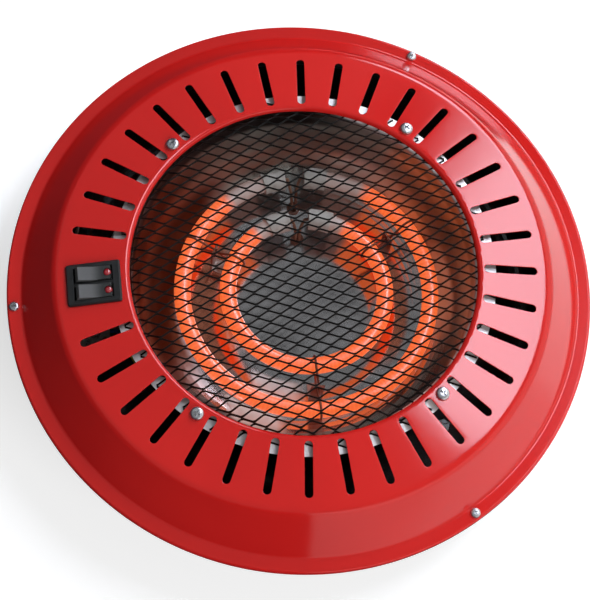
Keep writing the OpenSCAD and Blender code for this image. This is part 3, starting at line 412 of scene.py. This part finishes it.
def outward(piece, join=True):  # turns every face outwards, after joining doubles
    shape = bmesh.new()
    shape.from_mesh(piece.data)
    if join:
        bmesh.ops.remove_doubles(shape, verts=shape.verts, dist=joinWithin)
    bmesh.ops.recalc_face_normals(shape, faces=shape.faces)
    shape.to_mesh(piece.data)
    shape.free()
    return piece


def shade(piece, angle=32.0):
    smooth(piece)
    piece.data.set_sharp_from_angle(angle=math.radians(angle))
    return piece


# turns a profile of (r, z): from pole to pole, or a closed loop where no end is on the axis
def lathe(name, profile, sides, flute=None):
    points, rings, faces = [], [], []
    for step, (r, z) in enumerate(profile):
        rings.append([len(points) + k for k in range(sides if r else 1)])
        for k in range(len(rings[-1])):
            a = 2 * math.pi * k / sides
            q = r + (flute(step, a) if flute else 0)
            points.append((q * math.cos(a), q * math.sin(a), z))
    loop = profile[0][0] > 0 and profile[-1][0] > 0
    for one, two in zip(rings, rings[1:] + (rings[:1] if loop else [])):
        for k in range(sides):
            corners = [one[k % len(one)], one[(k + 1) % len(one)]]
            corners += [two[(k + 1) % len(two)], two[k % len(two)]]
            faces.append(list(dict.fromkeys(corners)))
    return outward(meshPiece(name, points, faces))


def applied(piece, modifier):  # what the modifier makes becomes the piece's own mesh
    bpy.context.view_layer.update()
    made = bpy.data.meshes.new_from_object(piece.evaluated_get(bpy.context.evaluated_depsgraph_get()))
    piece.modifiers.remove(modifier)
    piece.data = made
    made.name = piece.name
    return piece


def cut(piece, cutter):
    knife = piece.modifiers.new("cut", "BOOLEAN")
    knife.object, knife.operation, knife.solver = cutter, "DIFFERENCE", "EXACT"
    applied(piece, knife)
    bpy.data.objects.remove(cutter)
    return piece


def softEdges(piece, width, segments=2, angle=35.0):
    bevel = piece.modifiers.new("edges", "BEVEL")
    bevel.width, bevel.segments, bevel.angle_limit = width, segments, math.radians(angle)
    bevel.limit_method, bevel.harden_normals = "ANGLE", False
    bevel.miter_outer = "MITER_ARC"
    weigh = piece.modifiers.new("shading", "WEIGHTED_NORMAL")
    weigh.keep_sharp, weigh.weight = False, 80


def rounded(points, radii, step):  # a path of corners, each rounded by its own radius
    path = []
    for i, (p, r) in enumerate(zip(points, radii)):
        p = Vector(p)
        if r == 0:
            path.append(p)
            continue
        a, b = (p - Vector(points[i - 1])).normalized(), (Vector(points[i + 1]) - p).normalized()
        sweep = math.acos(max(-1, min(1, a.dot(b))))
        side = math.copysign(1, a.x * b.y - a.y * b.x)
        arm = Vector((-a.y, a.x)) * r * side
        centre = p - a * r * math.tan(sweep / 2) + arm
        count = max(2, math.ceil(math.degrees(sweep) / step))
        path += [centre - Matrix.Rotation(side * sweep * k / count, 2) @ arm for k in range(count + 1)]
    return path


def bake(piece, tree, inputs):  # runs a geometry tree on the piece and keeps the result as its mesh
    modifier = piece.modifiers.new(tree.name, "NODES")
    modifier.node_group = tree
    for socket in tree.interface.items_tree:
        if socket.item_type == "SOCKET" and socket.in_out == "INPUT" and socket.name in inputs:
            modifier[socket.identifier] = inputs[socket.name]
    return applied(piece, modifier)


def geometryTree(name, inputs):
    tree = bpy.data.node_groups.new(name, "GeometryNodeTree")
    tree.interface.new_socket("Geometry", in_out="INPUT", socket_type="NodeSocketGeometry")
    for label, kind in inputs.items():
        tree.interface.new_socket(label, in_out="INPUT", socket_type="NodeSocket" + kind)
    tree.interface.new_socket("Geometry", in_out="OUTPUT", socket_type="NodeSocketGeometry")
    graph = Graph(tree)
    return graph, graph.add("NodeGroupInput")


def closeTree(graph, shape, given):
    shape = graph.add("GeometryNodeSetMaterial", {}, {"Geometry": shape, "Material": given.at("Material")})
    graph.add("NodeGroupOutput", {}, {"Geometry": shape})
    return graph.tree


# the cover: slotted cone, wall, brim and rolled lip
cover = {
    "edge": 175.0, "brimTop": 54.8, "edgeDrop": 4.0, "edgeRound": 1.6, "brim": 8.8, "footRound": 3.0,
    "wallRun": 20.0, "wallHeight": 24.8, "shoulderRound": 9.0, "coneRise": 6.2, "opening": 102.0,
    "lipRound": 2.8, "lipDrop": 3.6, "sheet": 0.8, "slots": 36, "slotWidth": 4.8, "slotLength": 32.1,
    "slotInset": 3.8, "bandIn": 104.6, "bandOut": 141.6, "switchRadius": 122.9, "switchHole": (28.4, 23.2),
    "columns": 10, "sideSteps": 16, "holeRows": (0, 0.3, 0.65, 1), "roundStep": 6.0, "edgeBevel": 0.22,
    "edgeAngle": 50.0, "mergeWithin": 0.01,
}
wallFoot = cover["edge"] - cover["brim"]
shoulder = wallFoot - cover["wallRun"]
coneSlope = cover["coneRise"] / (shoulder - cover["opening"])
wallTop = cover["brimTop"] + cover["wallHeight"]


def coneHeight(r):
    return wallTop + (shoulder - r) * coneSlope


lipFoot = coneHeight(cover["opening"]) - cover["lipDrop"]


def coverPath():
    corners = [(cover["edge"], cover["brimTop"] - cover["edgeDrop"]), (cover["edge"], cover["brimTop"]),
               (wallFoot, cover["brimTop"]), (shoulder, wallTop),
               (cover["opening"], coneHeight(cover["opening"])), (cover["opening"], lipFoot)]
    radii = [0, cover["edgeRound"], cover["footRound"], cover["shoulderRound"], cover["lipRound"], 0]
    return rounded(corners, radii, cover["roundStep"])


def onSquare(side, t):  # a point on the outline of the square from -1 to 1; t is the share of its side walked
    return ((-1, 2 * t - 1), (2 * t - 1, 1), (1, 1 - 2 * t), (1 - 2 * t, -1))[side]


# one sector of the seen face; hole(side, t) gives the hole's point that faces the same point of the band
def coverSector(name, middle, half, hole):
    columns = round(cover["columns"] * half / (180 / cover["slots"]))
    steps, points, faces = cover["sideSteps"], [], []
    path = coverPath()
    low, high = cover["bandIn"], cover["bandOut"]
    outer = [p for p in path if p.x > high] + [Vector((high, coneHeight(high)))]
    inner = [Vector((low, coneHeight(low)))] + [p for p in path if p.x < low]

    def polar(r, angle, z):
        angle = math.radians(middle + angle)
        return (r * math.cos(angle), r * math.sin(angle), z)

    for strip in (outer, inner):
        start = len(points)
        points += [polar(p.x, half * (2 * c / columns - 1), p.y) for p in strip for c in range(columns + 1)]
        for row in range(len(strip) - 1):
            for c in range(columns):
                a = start + row * (columns + 1) + c
                faces.append((a, a + 1, a + columns + 2, a + columns + 1))

    walk = [(side, k / count) for side, count in enumerate((columns, steps) * 2) for k in range(count)]
    start, turn = len(points), Matrix.Rotation(math.radians(middle), 2)
    for share in cover["holeRows"]:
        for side, t in walk:
            u, v = onSquare(side, t)
            r, angle = low + (high - low) * (u + 1) / 2, half * v
            outside = Vector((r * math.cos(math.radians(angle)), r * math.sin(math.radians(angle))))
            flat = hole(side, t).lerp(outside, share)
            if share == 1:
                points.append(polar(r, angle, coneHeight(r)))
            else:
                points.append((*(turn @ flat), coneHeight(flat.length)))
    count = len(walk)
    for ring in range(len(cover["holeRows"]) - 1):
        for i in range(count):
            a, b = start + ring * count + i, start + ring * count + (i + 1) % count
            faces.append((a, b, b + count, a + count))
    return meshPiece(name, points, faces)


def slotHole(side, t):  # a slot with round ends
    r, low = cover["slotWidth"] / 2, cover["opening"] + cover["slotInset"]
    near, far = low + r, low + cover["slotLength"] - r
    if side in (1, 3):
        u, v = onSquare(side, t)
        return Vector((near + (far - near) * (u + 1) / 2, r * v))
    a = math.pi * ((0.5 if side else 1.5) - t)
    return Vector((far if side else near, 0)) + r * Vector((math.cos(a), math.sin(a)))


def switchHole(side, t):
    u, v = onSquare(side, t)
    along, across = cover["switchHole"]
    return Vector((cover["switchRadius"] + u * along / 2, v * across / 2))


def coverTree():
    g, given = geometryTree("slotted ring", {
        "Places": "Int", "Switch Sector": "Object", "Material": "Material"})
    places = given.at("Places")
    index = g.add("GeometryNodeInputIndex")
    turn = g.add("ShaderNodeCombineXYZ", {}, {"Z": (index + 0.5) * (2 * math.pi) / places})
    ring = g.add("GeometryNodeMeshLine", {}, {"Count": places, "Offset": (0, 0, 0)})
    sectors = g.add("GeometryNodeInstanceOnPoints", {}, {
        "Points": ring, "Instance": given.at("Geometry"), "Rotation": turn,
        "Selection": (index * 2 + 1 - places).abs().above(1.5)})
    switch = g.add("GeometryNodeObjectInfo", {}, {"Object": given.at("Switch Sector")}, out="Geometry")
    join = g.add("GeometryNodeJoinGeometry")
    for part in (sectors, switch):
        g.tree.links.new(part.socket, join.socket.node.inputs[0])
    shape = g.add("GeometryNodeRealizeInstances", {}, {"Geometry": join})
    shape = g.add("GeometryNodeMergeByDistance", {}, {
        "Geometry": shape, "Distance": cover["mergeWithin"] * mm})
    return closeTree(g, shape, given)


def makeCover():
    piece = coverSector("enamel_cover", 0.0, 180 / cover["slots"], slotHole)
    switchPart = coverSector("switchSector", 180.0, 360 / cover["slots"], switchHole)
    bake(piece, coverTree(), {
        "Places": cover["slots"], "Switch Sector": switchPart, "Material": finishes["red_enamel"]})
    bpy.data.objects.remove(switchPart)
    outward(piece, join=False)
    if max(piece.data.polygons, key=lambda face: face.center.z).normal.z < 0:
        piece.data.flip_normals()
    smooth(piece)
    wall = piece.modifiers.new("sheet", "SOLIDIFY")
    wall.thickness, wall.offset, wall.use_even_offset = cover["sheet"] * mm, -1, True
    softEdges(piece, cover["edgeBevel"] * mm, angle=cover["edgeAngle"])
    return stand(piece, "top_cover")


makeCover()
print("cover made")


# the guard: expanded metal at its real pitch, formed into a shallow tray
guard = {
    "long": 12.8, "short": 7.7, "strand": 1.15, "thick": 0.72, "chamfer": 0.2, "tilt": 24.0, "bond": 0.62,
    "turn": 4.0, "knots": (21, 33), "flatTop": 84.45, "flatRadius": 96.3, "footRadius": 100.2,
    "margin": 81.68, "flattened": 0.35, "edge": 110.8, "notchRadius": 104.5, "notchHalf": 14.6,
    "mergeWithin": 0.005,
}


def strandUnit():  # the four strands that meet at one knuckle; "mid" keeps each strand's middle
    w, t, tilt = guard["strand"], guard["thick"], math.radians(guard["tilt"])
    long, short, bond = guard["long"] / 2, guard["short"] / 2, guard["bond"]
    rise = w / 2 * math.sin(tilt)
    section = []
    for a, b in ((1, 1), (-1, 1), (-1, -1), (1, -1)):
        corner = [(a * w / 2, b * (t / 2 - guard["chamfer"])), (a * (w / 2 - guard["chamfer"]), b * t / 2)]
        section += corner if a * b > 0 else corner[::-1]
    points, faces, middles = [], [], []
    for sx in (1, -1):
        for sy in (1, -1):
            line = [(0, w / 2, rise), (bond, w / 2, rise)]
            line += [(long - bond, short - w / 2, -rise), (long, short - w / 2, -rise)]
            start = len(points)
            for x, y, z in line:
                for across, up in section:
                    dy = across * math.cos(tilt) - up * math.sin(tilt)
                    dz = across * math.sin(tilt) + up * math.cos(tilt)
                    points.append((sx * x, sy * (y + dy), sy * (z + dz) if sy > 0 else -(z + dz)))
                    middles += (sx * long / 2 * mm, sy * short / 2 * mm, 0)
            n = len(section)
            for k in range(len(line) - 1):
                for i in range(n):
                    a, b = start + k * n + i, start + k * n + (i + 1) % n
                    faces.append((a, b, b + n, a + n))
            faces.append(tuple(range(start + n - 1, start - 1, -1)))
            faces.append(tuple(range(start + 3 * n, start + 4 * n)))
    piece = outward(meshPiece("guard_net", points, faces), join=False)
    piece.data.attributes.new("mid", "FLOAT_VECTOR", "POINT").data.foreach_set("vector", middles)
    return piece


def guardTree():
    names = ("Long Pitch", "Short Pitch", "Turn", "Edge Radius", "Flat Radius", "Foot Radius", "Flat Top",
             "Margin Height", "Margin Slope", "Opening", "Notch Radius", "Notch Half")
    g, given = geometryTree("expanded metal", {**dict.fromkeys(names, "Float"), "Material": "Material"})
    long, short, turn, edge, flat, foot, top, margin, slope, opening, notch, notchHalf = (
        given.at(name) for name in names)
    columns, rows = guard["knots"]
    grid = g.add("GeometryNodeMeshGrid", {}, {
        "Size X": long * (columns - 1), "Size Y": short * (rows - 1),
        "Vertices X": columns, "Vertices Y": rows})
    here = g.add("GeometryNodeInputPosition")
    units = g.add("GeometryNodeInstanceOnPoints", {}, {"Points": grid, "Instance": given.at("Geometry")})
    units = g.add("GeometryNodeStoreNamedAttribute", {"data_type": "FLOAT_VECTOR", "domain": "INSTANCE"},
                  {"Geometry": units, "Name": "knot", "Value": here})
    shape = g.add("GeometryNodeRealizeInstances", {}, {"Geometry": units})
    knot = g.add("GeometryNodeInputNamedAttribute", {"data_type": "FLOAT_VECTOR"}, {"Name": "knot"})
    mid = g.add("GeometryNodeInputNamedAttribute", {"data_type": "FLOAT_VECTOR"}, {"Name": "mid"})
    centre = g.add("ShaderNodeVectorMath", {"operation": "ADD"}, {0: knot, 1: mid})
    cx, cy = g.axes(centre)[:2]
    beyond = cx.hypot(cy).above(edge)
    byNotch = (0 - cx).above(notch) * cy.abs().below(notchHalf)
    shape = g.add("GeometryNodeDeleteGeometry", {"domain": "POINT"}, {
        "Geometry": shape, "Selection": (beyond + byNotch).above(0.5)})
    shape = g.add("GeometryNodeTransform", {}, {
        "Geometry": shape, "Rotation": g.add("ShaderNodeCombineXYZ", {}, {"Z": turn})})
    x, y, z = g.axes(here)
    r = x.hypot(y)
    down = r.ease(flat, foot)
    lift = top * (1 - down) + (margin + (opening - r) * slope) * down - z * down * guard["flattened"]
    offset = g.add("ShaderNodeCombineXYZ", {}, {"Z": lift})
    shape = g.add("GeometryNodeSetPosition", {}, {"Geometry": shape, "Offset": offset})
    for name in ("knot", "mid"):
        shape = g.add("GeometryNodeRemoveAttribute", {}, {"Geometry": shape, "Name": name})
    shape = g.add("GeometryNodeMergeByDistance", {}, {
        "Geometry": shape, "Distance": guard["mergeWithin"] * mm})
    return closeTree(g, shape, given)


def makeGuard():
    piece = bake(strandUnit(), guardTree(), {
        "Long Pitch": guard["long"] * mm, "Short Pitch": guard["short"] * mm,
        "Turn": math.radians(guard["turn"]), "Edge Radius": guard["edge"] * mm,
        "Flat Radius": guard["flatRadius"] * mm, "Foot Radius": guard["footRadius"] * mm,
        "Flat Top": guard["flatTop"] * mm,
        "Margin Height": guard["margin"] * mm, "Margin Slope": coneSlope,
        "Opening": cover["opening"] * mm, "Notch Radius": guard["notchRadius"] * mm,
        "Notch Half": guard["notchHalf"] * mm, "Material": finishes["guard_black"]})
    return stand(piece, "guard_mesh")


makeGuard()
print("guard made")


# a smooth copy of a CAD node, with its edges softened by the width given
def softCopy(node, name, width, segments=2, body="body", flatten=1.0):
    shape = bmesh.new()
    shape.from_mesh(nodes[node].data)
    bmesh.ops.remove_doubles(shape, verts=shape.verts, dist=joinWithin)
    bmesh.ops.dissolve_limit(shape, angle_limit=math.radians(flatten), verts=shape.verts, edges=shape.edges)
    mesh = bpy.data.meshes.new(name)
    shape.to_mesh(mesh)
    shape.free()
    piece = bpy.data.objects.new(name, mesh)
    scene.collection.objects.link(piece)
    mesh.materials.append(nodes[node].data.materials[0])
    smooth(piece)
    if width:
        softEdges(piece, width * mm, segments)
    return stand(piece, node, body)


# pan-head screws with a cross recess and a threaded shank, in shares of the diameter or of the head
screw = {
    "headWidth": 2.0, "headHeight": 0.6, "sides": 40, "thread": 0.175, "threadDepth": 0.055, "plain": 0.3,
    "crown": [(0.0, 1.0), (0.45, 0.985), (0.70, 0.92), (0.86, 0.79), (0.955, 0.58), (1.0, 0.30), (1.0, 0.08),
              (0.965, 0.0)],
    "end": [(0.44, 0.08), (0.36, 0), (0, 0)], "recessWidth": 0.125, "recessReach": 0.56, "recessDepth": 0.62,
    "recessTaper": 0.45, "lift": 0.1,
}


def screwMesh(name, diameter, length):
    head, tall = diameter * screw["headWidth"] / 2, diameter * screw["headHeight"]
    pitch = diameter * screw["thread"]
    profile = [(r * head, z * tall) for r, z in screw["crown"]] + [(diameter / 2, 0)]
    for i in range(2 * int((length - screw["plain"] * diameter) / pitch)):
        profile.append((diameter * (0.5 - screw["threadDepth"] * (i % 2 == 0)), -(i + 0.5) * pitch / 2))
    profile += [(r * diameter, z * diameter - length) for r, z in screw["end"]]
    piece = lathe(name, profile, screw["sides"])
    wide, reach = diameter * screw["recessWidth"], diameter * screw["recessReach"]
    arm = [(reach, -wide), (reach, wide), (wide, wide)]
    cross = [(x * math.cos(q) - y * math.sin(q), x * math.sin(q) + y * math.cos(q))
             for q in (k * math.pi / 2 for k in range(4)) for x, y in arm]
    # the knife's width and height, from above the head down to the floor of the recess
    levels = ((1.25, tall * 1.3), (1.0, tall), (screw["recessTaper"], tall * (1 - screw["recessDepth"])))
    points = [(x * size, y * size, z) for size, z in levels for x, y in cross]
    n = len(cross)
    faces = [list(range(n)), list(range(3 * n - 1, 2 * n - 1, -1))]
    faces += [(r * n + k, r * n + (k + 1) % n, (r + 1) * n + (k + 1) % n, (r + 1) * n + k)
              for r in (0, 1) for k in range(n)]
    return cut(piece, outward(meshPiece("recess", points, faces)))


def ringTree():  # copies of a fixing on a circle; a swing moves them by turns to one side and the other
    names = ("Radius", "Height", "First", "Swing", "Tilt")
    g, given = geometryTree("ring of fixings", {
        "Count": "Int", **dict.fromkeys(names, "Float"), "Material": "Material"})
    count = given.at("Count")
    radius, height, first, swing, tilt = (given.at(name) for name in names)
    index = g.add("GeometryNodeInputIndex")
    angle = first + index * (2 * math.pi) / count + swing * (index * math.pi + math.pi / 2).sin()
    line = g.add("GeometryNodeMeshLine", {}, {"Count": count, "Offset": (0, 0, 0)})
    spot = g.add("ShaderNodeCombineXYZ", {}, {
        "X": radius * (angle + math.pi / 2).sin(), "Y": radius * angle.sin(), "Z": height})
    line = g.add("GeometryNodeSetPosition", {}, {"Geometry": line, "Offset": spot})
    turn = g.add("ShaderNodeCombineXYZ", {}, {"Y": tilt, "Z": angle})
    shape = g.add("GeometryNodeInstanceOnPoints", {}, {
        "Points": line, "Instance": given.at("Geometry"), "Rotation": turn})
    return closeTree(g, g.add("GeometryNodeRealizeInstances", {}, {"Geometry": shape}), given)


def makeScrews(name, node, diameter, length, count, radius, height, first, swing=0.0, tilt=0.0):
    piece = bake(screwMesh(name, diameter, length), ringScrews, {
        "Count": count, "Radius": radius * mm, "Height": height * mm, "First": math.radians(first),
        "Swing": math.radians(swing), "Tilt": math.radians(tilt), "Material": nodes[node].data.materials[0]})
    return stand(shade(piece), node)


ringScrews = ringTree()
coneTilt = math.degrees(math.atan(coneSlope))
guardScrewRadius = 109.7
fixings = {
    "guard_panheads": {
        "node": "guard_screws", "diameter": 4.0, "length": 9.36, "count": 4, "first": 45.0, "swing": 5.0,
        "tilt": coneTilt, "radius": guardScrewRadius + screw["lift"] * math.sin(math.radians(coneTilt)),
        "height": coneHeight(guardScrewRadius) + screw["lift"]},
    "rim_panheads": {
        "node": "rim_screws", "diameter": 3.0, "length": 4.6, "count": 3, "first": 60.0, "radius": 170.8,
        "height": cover["brimTop"]},
    "foot_panheads": {
        "node": "foot_screws", "diameter": 4.0, "length": 8.8, "count": 4, "first": 45.0, "tilt": 180.0,
        "radius": 115.0, "height": 4.0},
}
for name, settings in fixings.items():
    makeScrews(name, **settings)
print("screws made")


# domed pilot lenses, one in each key
pilot = {
    "pitch": 5.45, "pivot": -2.5, "keyTilt": 8.0, "inwards": 7.6, "face": 5.0, "sink": 1.5, "sides": 40,
    "dome": [(0.0, 2.0), (0.7, 1.95), (1.25, 1.78), (1.7, 1.48), (2.0, 1.08), (2.15, 0.62), (2.2, 0.0),
             (0.0, 0.0)],
}


def makePilot(name, node, body, side):
    def tilt(degrees):
        return Matrix.Rotation(math.radians(degrees), 4, "Y")

    def shift(*by):
        return Matrix.Translation(by)

    lift = pilot["face"] + pilot["inwards"] * math.tan(math.radians(pilot["keyTilt"]))
    seat = shift(cover["switchRadius"], 0, coneHeight(cover["switchRadius"]))
    place = Matrix.Rotation(math.pi, 4, "Z") @ seat @ tilt(coneTilt)  # on the cone, across from angle 0
    place = place @ shift(0, side * pilot["pitch"], pilot["pivot"]) @ tilt(-pilot["keyTilt"])
    place = place @ shift(-pilot["inwards"], 0, lift) @ tilt(pilot["keyTilt"]) @ shift(0, 0, -pilot["sink"])
    piece = lathe(name, pilot["dome"], pilot["sides"])
    piece.data.transform(Matrix.Scale(mm, 4) @ place @ Matrix.Scale(1 / mm, 4))
    piece.data.materials.append(nodes[node].data.materials[0])
    return stand(shade(piece, 50.0), node, body)


makePilot("outer_pilot", "outer_lens", "outer_key", -1)
makePilot("inner_pilot", "inner_lens", "inner_key", 1)
print("pilot lenses made")


# the inlet gland, with a fluted grip
gland = {
    "wall": 150.0, "height": 32.0, "sides": 144, "flutes": 18, "fluteDepth": 0.28, "fluted": (3, 5),
    "grip": [(3.6, 9.0), (4.4, 9.05), (5.6, 8.8), (6.4, 8.0), (8.3, 4.6), (8.35, 1.7), (8.8, 1.5), (9.0, 1.2),
             (9.0, 0.25), (8.8, 0.05), (6.0, 0.05)],
    "threadRadius": 6.0, "threadDepth": 0.35, "threadStep": 0.6, "threadRows": 12,
    "end": [(5.6, -8.0), (3.6, -8.0)],
}


def makeGland():
    thread = [(gland["threadRadius"] - gland["threadDepth"] * (i % 2), -gland["threadStep"] * i)
              for i in range(1, gland["threadRows"] + 1)]
    profile = gland["grip"] + thread + gland["end"]
    low, high = gland["fluted"]

    def flute(step, a):
        return -gland["fluteDepth"] * (1 - math.cos(a * gland["flutes"])) if low < step <= high else 0

    piece = lathe("inlet_gland", profile, gland["sides"], flute)
    place = Matrix.Translation((-gland["wall"] * mm, 0, gland["height"] * mm))
    piece.data.transform(place @ Matrix.Rotation(-math.pi / 2, 4, "Y"))
    piece.data.materials.append(nodes["cord_gland"].data.materials[0])
    return stand(shade(piece, 40.0), "cord_gland")


makeGland()
print("inlet gland made")

softCopy("switch_housing", "switch_bezel", 0.25)
softCopy("outer_caps", "outer_ferrules", 0.35)
softCopy("inner_caps", "inner_ferrules", 0.35)
softCopy("feet", "rubber_feet", 0.5, 3)
softCopy("outer_rocker", "outer_key", 0.3, 3, body="outer_key")
softCopy("inner_rocker", "inner_key", 0.3, 3, body="inner_key")
for node, name in (("outer_ring_leads", "outer_sleeves"), ("inner_ring_leads", "inner_sleeves"),
                   ("holder_wires", "tube_ties")):
    softCopy(node, name, 0, flatten=0.01)
print("soft copies made")


studio = {
    "softboxPlace": (0.761, 0.829, 1.469), "softboxSize": (0.65, 1.95),
    "softboxAlong": (0.079, 0.855, -0.511), "softboxTone": (0.88, 0.92, 1.06), "softboxGlow": 10.0,
    "crispEdge": 0.04, "softEdge": 0.20, "softUntil": (0.40, 0.65), "edgeInset": 0.2,
    "insetUntil": (0.40, 0.60), "keyPlace": (0.94, 0.747, 1.40), "keySize": (0.8, 1.7),
    "keyAlong": (0.204, 0.790, -0.580), "keyPower": 16.0,
    "fillPlace": (0.65, -1.6, 1.1), "fillSize": (1.2, 0.8), "fillAlong": (0, 0, 1), "fillPower": 22.0,
    "aim": (0, 0, 0.06), "sky": 0.15, "tent": 3.0, "tentHeight": 2.7, "ceiling": (0.30, 0.30, 0.31),
    "sides": (0.030, 0.030, 0.048), "ground": (0.020, 0.020, 0.030), "groundEdge": 0.2, "groundLift": 0.0003,
    "bounce": (0.2, 0.3, -0.12, 0.40), "bounceLift": 0.0004, "bounceGlow": (1.8, 1.8, 1.85),
    "floorHalf": 6.0, "floor": (0.62, 0.62, 0.62), "floorGlow": 0.62, "sensor": 36.0, "lens": 116.8,
    "clip": (0.05, 50.0), "camera": (-118.6, -411.0, 1138.3), "turn": -16.0935,
    "right": (0.98241, 0.17394, 0.06793), "up": (-0.18673, 0.91649, 0.35380),
    "forward": (0.00072, 0.36026, -0.93285),
}


def lampAxes(name):  # place, across, along and back of a lamp whose long side runs as the settings say
    place = Vector(studio[name + "Place"])
    back = (place - Vector(studio["aim"])).normalized()
    across = Vector(studio[name + "Along"]).cross(back).normalized()
    return place, across, back.cross(across), back


def makeLamp(name):  # an area lamp that reflections don't see
    light = bpy.data.lights.new(name, "AREA")
    light.shape, light.energy = "RECTANGLE", studio[name + "Power"]
    light.size, light.size_y = studio[name + "Size"]
    lamp = bpy.data.objects.new(name, light)
    scene.collection.objects.link(lamp)
    place, across, along, back = lampAxes(name)
    lamp.matrix_world = Matrix.Translation(place) @ Matrix((across, along, back)).transposed().to_4x4()
    lamp.visible_glossy = False


def makeSoftbox():  # a lit panel that fades out towards its left edge
    place, across, along = lampAxes("softbox")[:3]
    halfWide, halfLong = (side / 2 for side in studio["softboxSize"])
    corners = [place + x * halfWide * across + y * halfLong * along
               for x, y in ((-1, -1), (-1, 1), (1, 1), (1, -1))]
    panel = meshPiece("softbox", [c / mm for c in corners], [(0, 1, 2, 3)])
    g = Finish("softbox")
    offset = g.add("ShaderNodeVectorMath", {"operation": "SUBTRACT"}, {0: g.place, 1: tuple(place)})
    u, v = (g.add("ShaderNodeVectorMath", {"operation": "DOT_PRODUCT"}, {0: offset, 1: tuple(axis)},
                  out="Value") for axis in (across, along))
    blur = v.ease(-halfLong, 0.0) * v.fade(*studio["softUntil"]) * studio["softEdge"]
    inside = u + halfWide - studio["edgeInset"] * v.fade(*studio["insetUntil"])
    fade = inside.ease(0.0, studio["crispEdge"]) * inside.ease(0.0, studio["crispEdge"] + blur)
    lit = g.add("ShaderNodeEmission", {}, {
        "Color": (*studio["softboxTone"], 1), "Strength": fade * studio["softboxGlow"]})
    g.add("ShaderNodeOutputMaterial", {}, {"Surface": lit})
    panel.data.materials.append(g.material)
    panel.visible_camera = False


def stagePlane(name, half):
    corners = [(-half, -half, 0), (half, -half, 0), (half, half, 0), (-half, half, 0)]
    piece = meshPiece(name, [Vector(c) / mm for c in corners], [(0, 1, 2, 3)])
    return piece


def mirroredCard(name, tone, corners):  # a dark flag or a pale bounce that only reflections see
    card = meshPiece(name, [Vector(c) / mm for c in corners], [(0, 1, 2, 3)])
    g = Finish(name)
    lit = g.add("ShaderNodeEmission", {}, {"Color": (*tone, 1), "Strength": 1.0})
    g.add("ShaderNodeOutputMaterial", {}, {"Surface": lit})
    card.data.materials.append(g.material)
    for kind in ("camera", "diffuse", "transmission", "shadow", "volume_scatter"):
        setattr(card, "visible_" + kind, False)


def raysOf(graph, *kinds):
    path = graph.add("ShaderNodeLightPath")
    total = path.at(kinds[0])
    for kind in kinds[1:]:
        total = total + path.at(kind)
    return total.calc("MINIMUM", total, 1.0)


def makeStage():
    world = bpy.data.worlds.new("studio")
    scene.world = world
    world.use_nodes = True
    g = Graph(world.node_tree)
    white = raysOf(g, "Is Camera Ray", "Is Glossy Ray", "Is Transmission Ray")
    sky = g.add("ShaderNodeBackground", {}, {
        "Color": (1, 1, 1, 1), "Strength": studio["sky"] + (1 - studio["sky"]) * white})
    g.add("ShaderNodeOutputWorld", {}, {"Surface": sky})

    floor = stagePlane("floor", studio["floorHalf"])
    g = Finish("paleFloor")
    matte = g.add("ShaderNodeBsdfDiffuse", {}, {"Color": (*studio["floor"], 1)})
    light = g.add("ShaderNodeEmission", {}, {
        "Color": (1, 1, 1, 1), "Strength": raysOf(g, "Is Camera Ray", "Is Glossy Ray") * studio["floorGlow"]})
    both = g.add("ShaderNodeAddShader", {}, {0: matte, 1: light})
    under = g.add("ShaderNodeNewGeometry", out="Backfacing")  # clear from below, to look at the underside
    seen = g.add("ShaderNodeMixShader", {}, {0: under, 1: both, 2: g.add("ShaderNodeBsdfTransparent")})
    g.add("ShaderNodeOutputMaterial", {}, {"Surface": seen})
    floor.data.materials.append(g.material)

    half, high = studio["tent"], studio["tentHeight"]
    square = [(-half, -half), (half, -half), (half, half), (-half, half)]
    mirroredCard("flag_over", studio["ceiling"], [(x, y, high) for x, y in square])
    mirroredCard("flag_under", studio["ground"], [
        (min(x, studio["groundEdge"]), y, studio["groundLift"]) for x, y in square])
    for name, a, b in (("flag_left", (-half, -half), (-half, half)),
                       ("flag_front", (-half, -half), (0, -half)),
                       ("flag_back", (-half, half), (half, half))):
        mirroredCard(name, studio["sides"], [(*a, 0), (*b, 0), (*b, high), (*a, high)])
    x, wide, y, deep = studio["bounce"]
    mirroredCard("bounce", studio["bounceGlow"], [
        (x + u * wide, y + v * deep, studio["bounceLift"]) for u, v in ((0, 0), (1, 0), (1, 1), (0, 1))])
    makeSoftbox()
    makeLamp("key")
    makeLamp("fill")


def makeCamera():
    lens = bpy.data.cameras.new("camera")
    lens.sensor_width, lens.lens = studio["sensor"], studio["lens"]
    lens.clip_start, lens.clip_end = studio["clip"]
    camera = bpy.data.objects.new("camera", lens)
    scene.collection.objects.link(camera)
    spin = Matrix.Rotation(math.radians(studio["turn"]), 3, "Z")
    right, up, forward = (spin @ Vector(studio[key]) for key in ("right", "up", "forward"))
    turn = Matrix((right, up, -forward)).transposed().to_4x4()
    camera.matrix_world = Matrix.Translation(Vector(studio["camera"]) * mm) @ turn
    scene.camera = camera


makeStage()
makeCamera()
scene.view_settings.view_transform = "Standard"
print("stage and camera set")
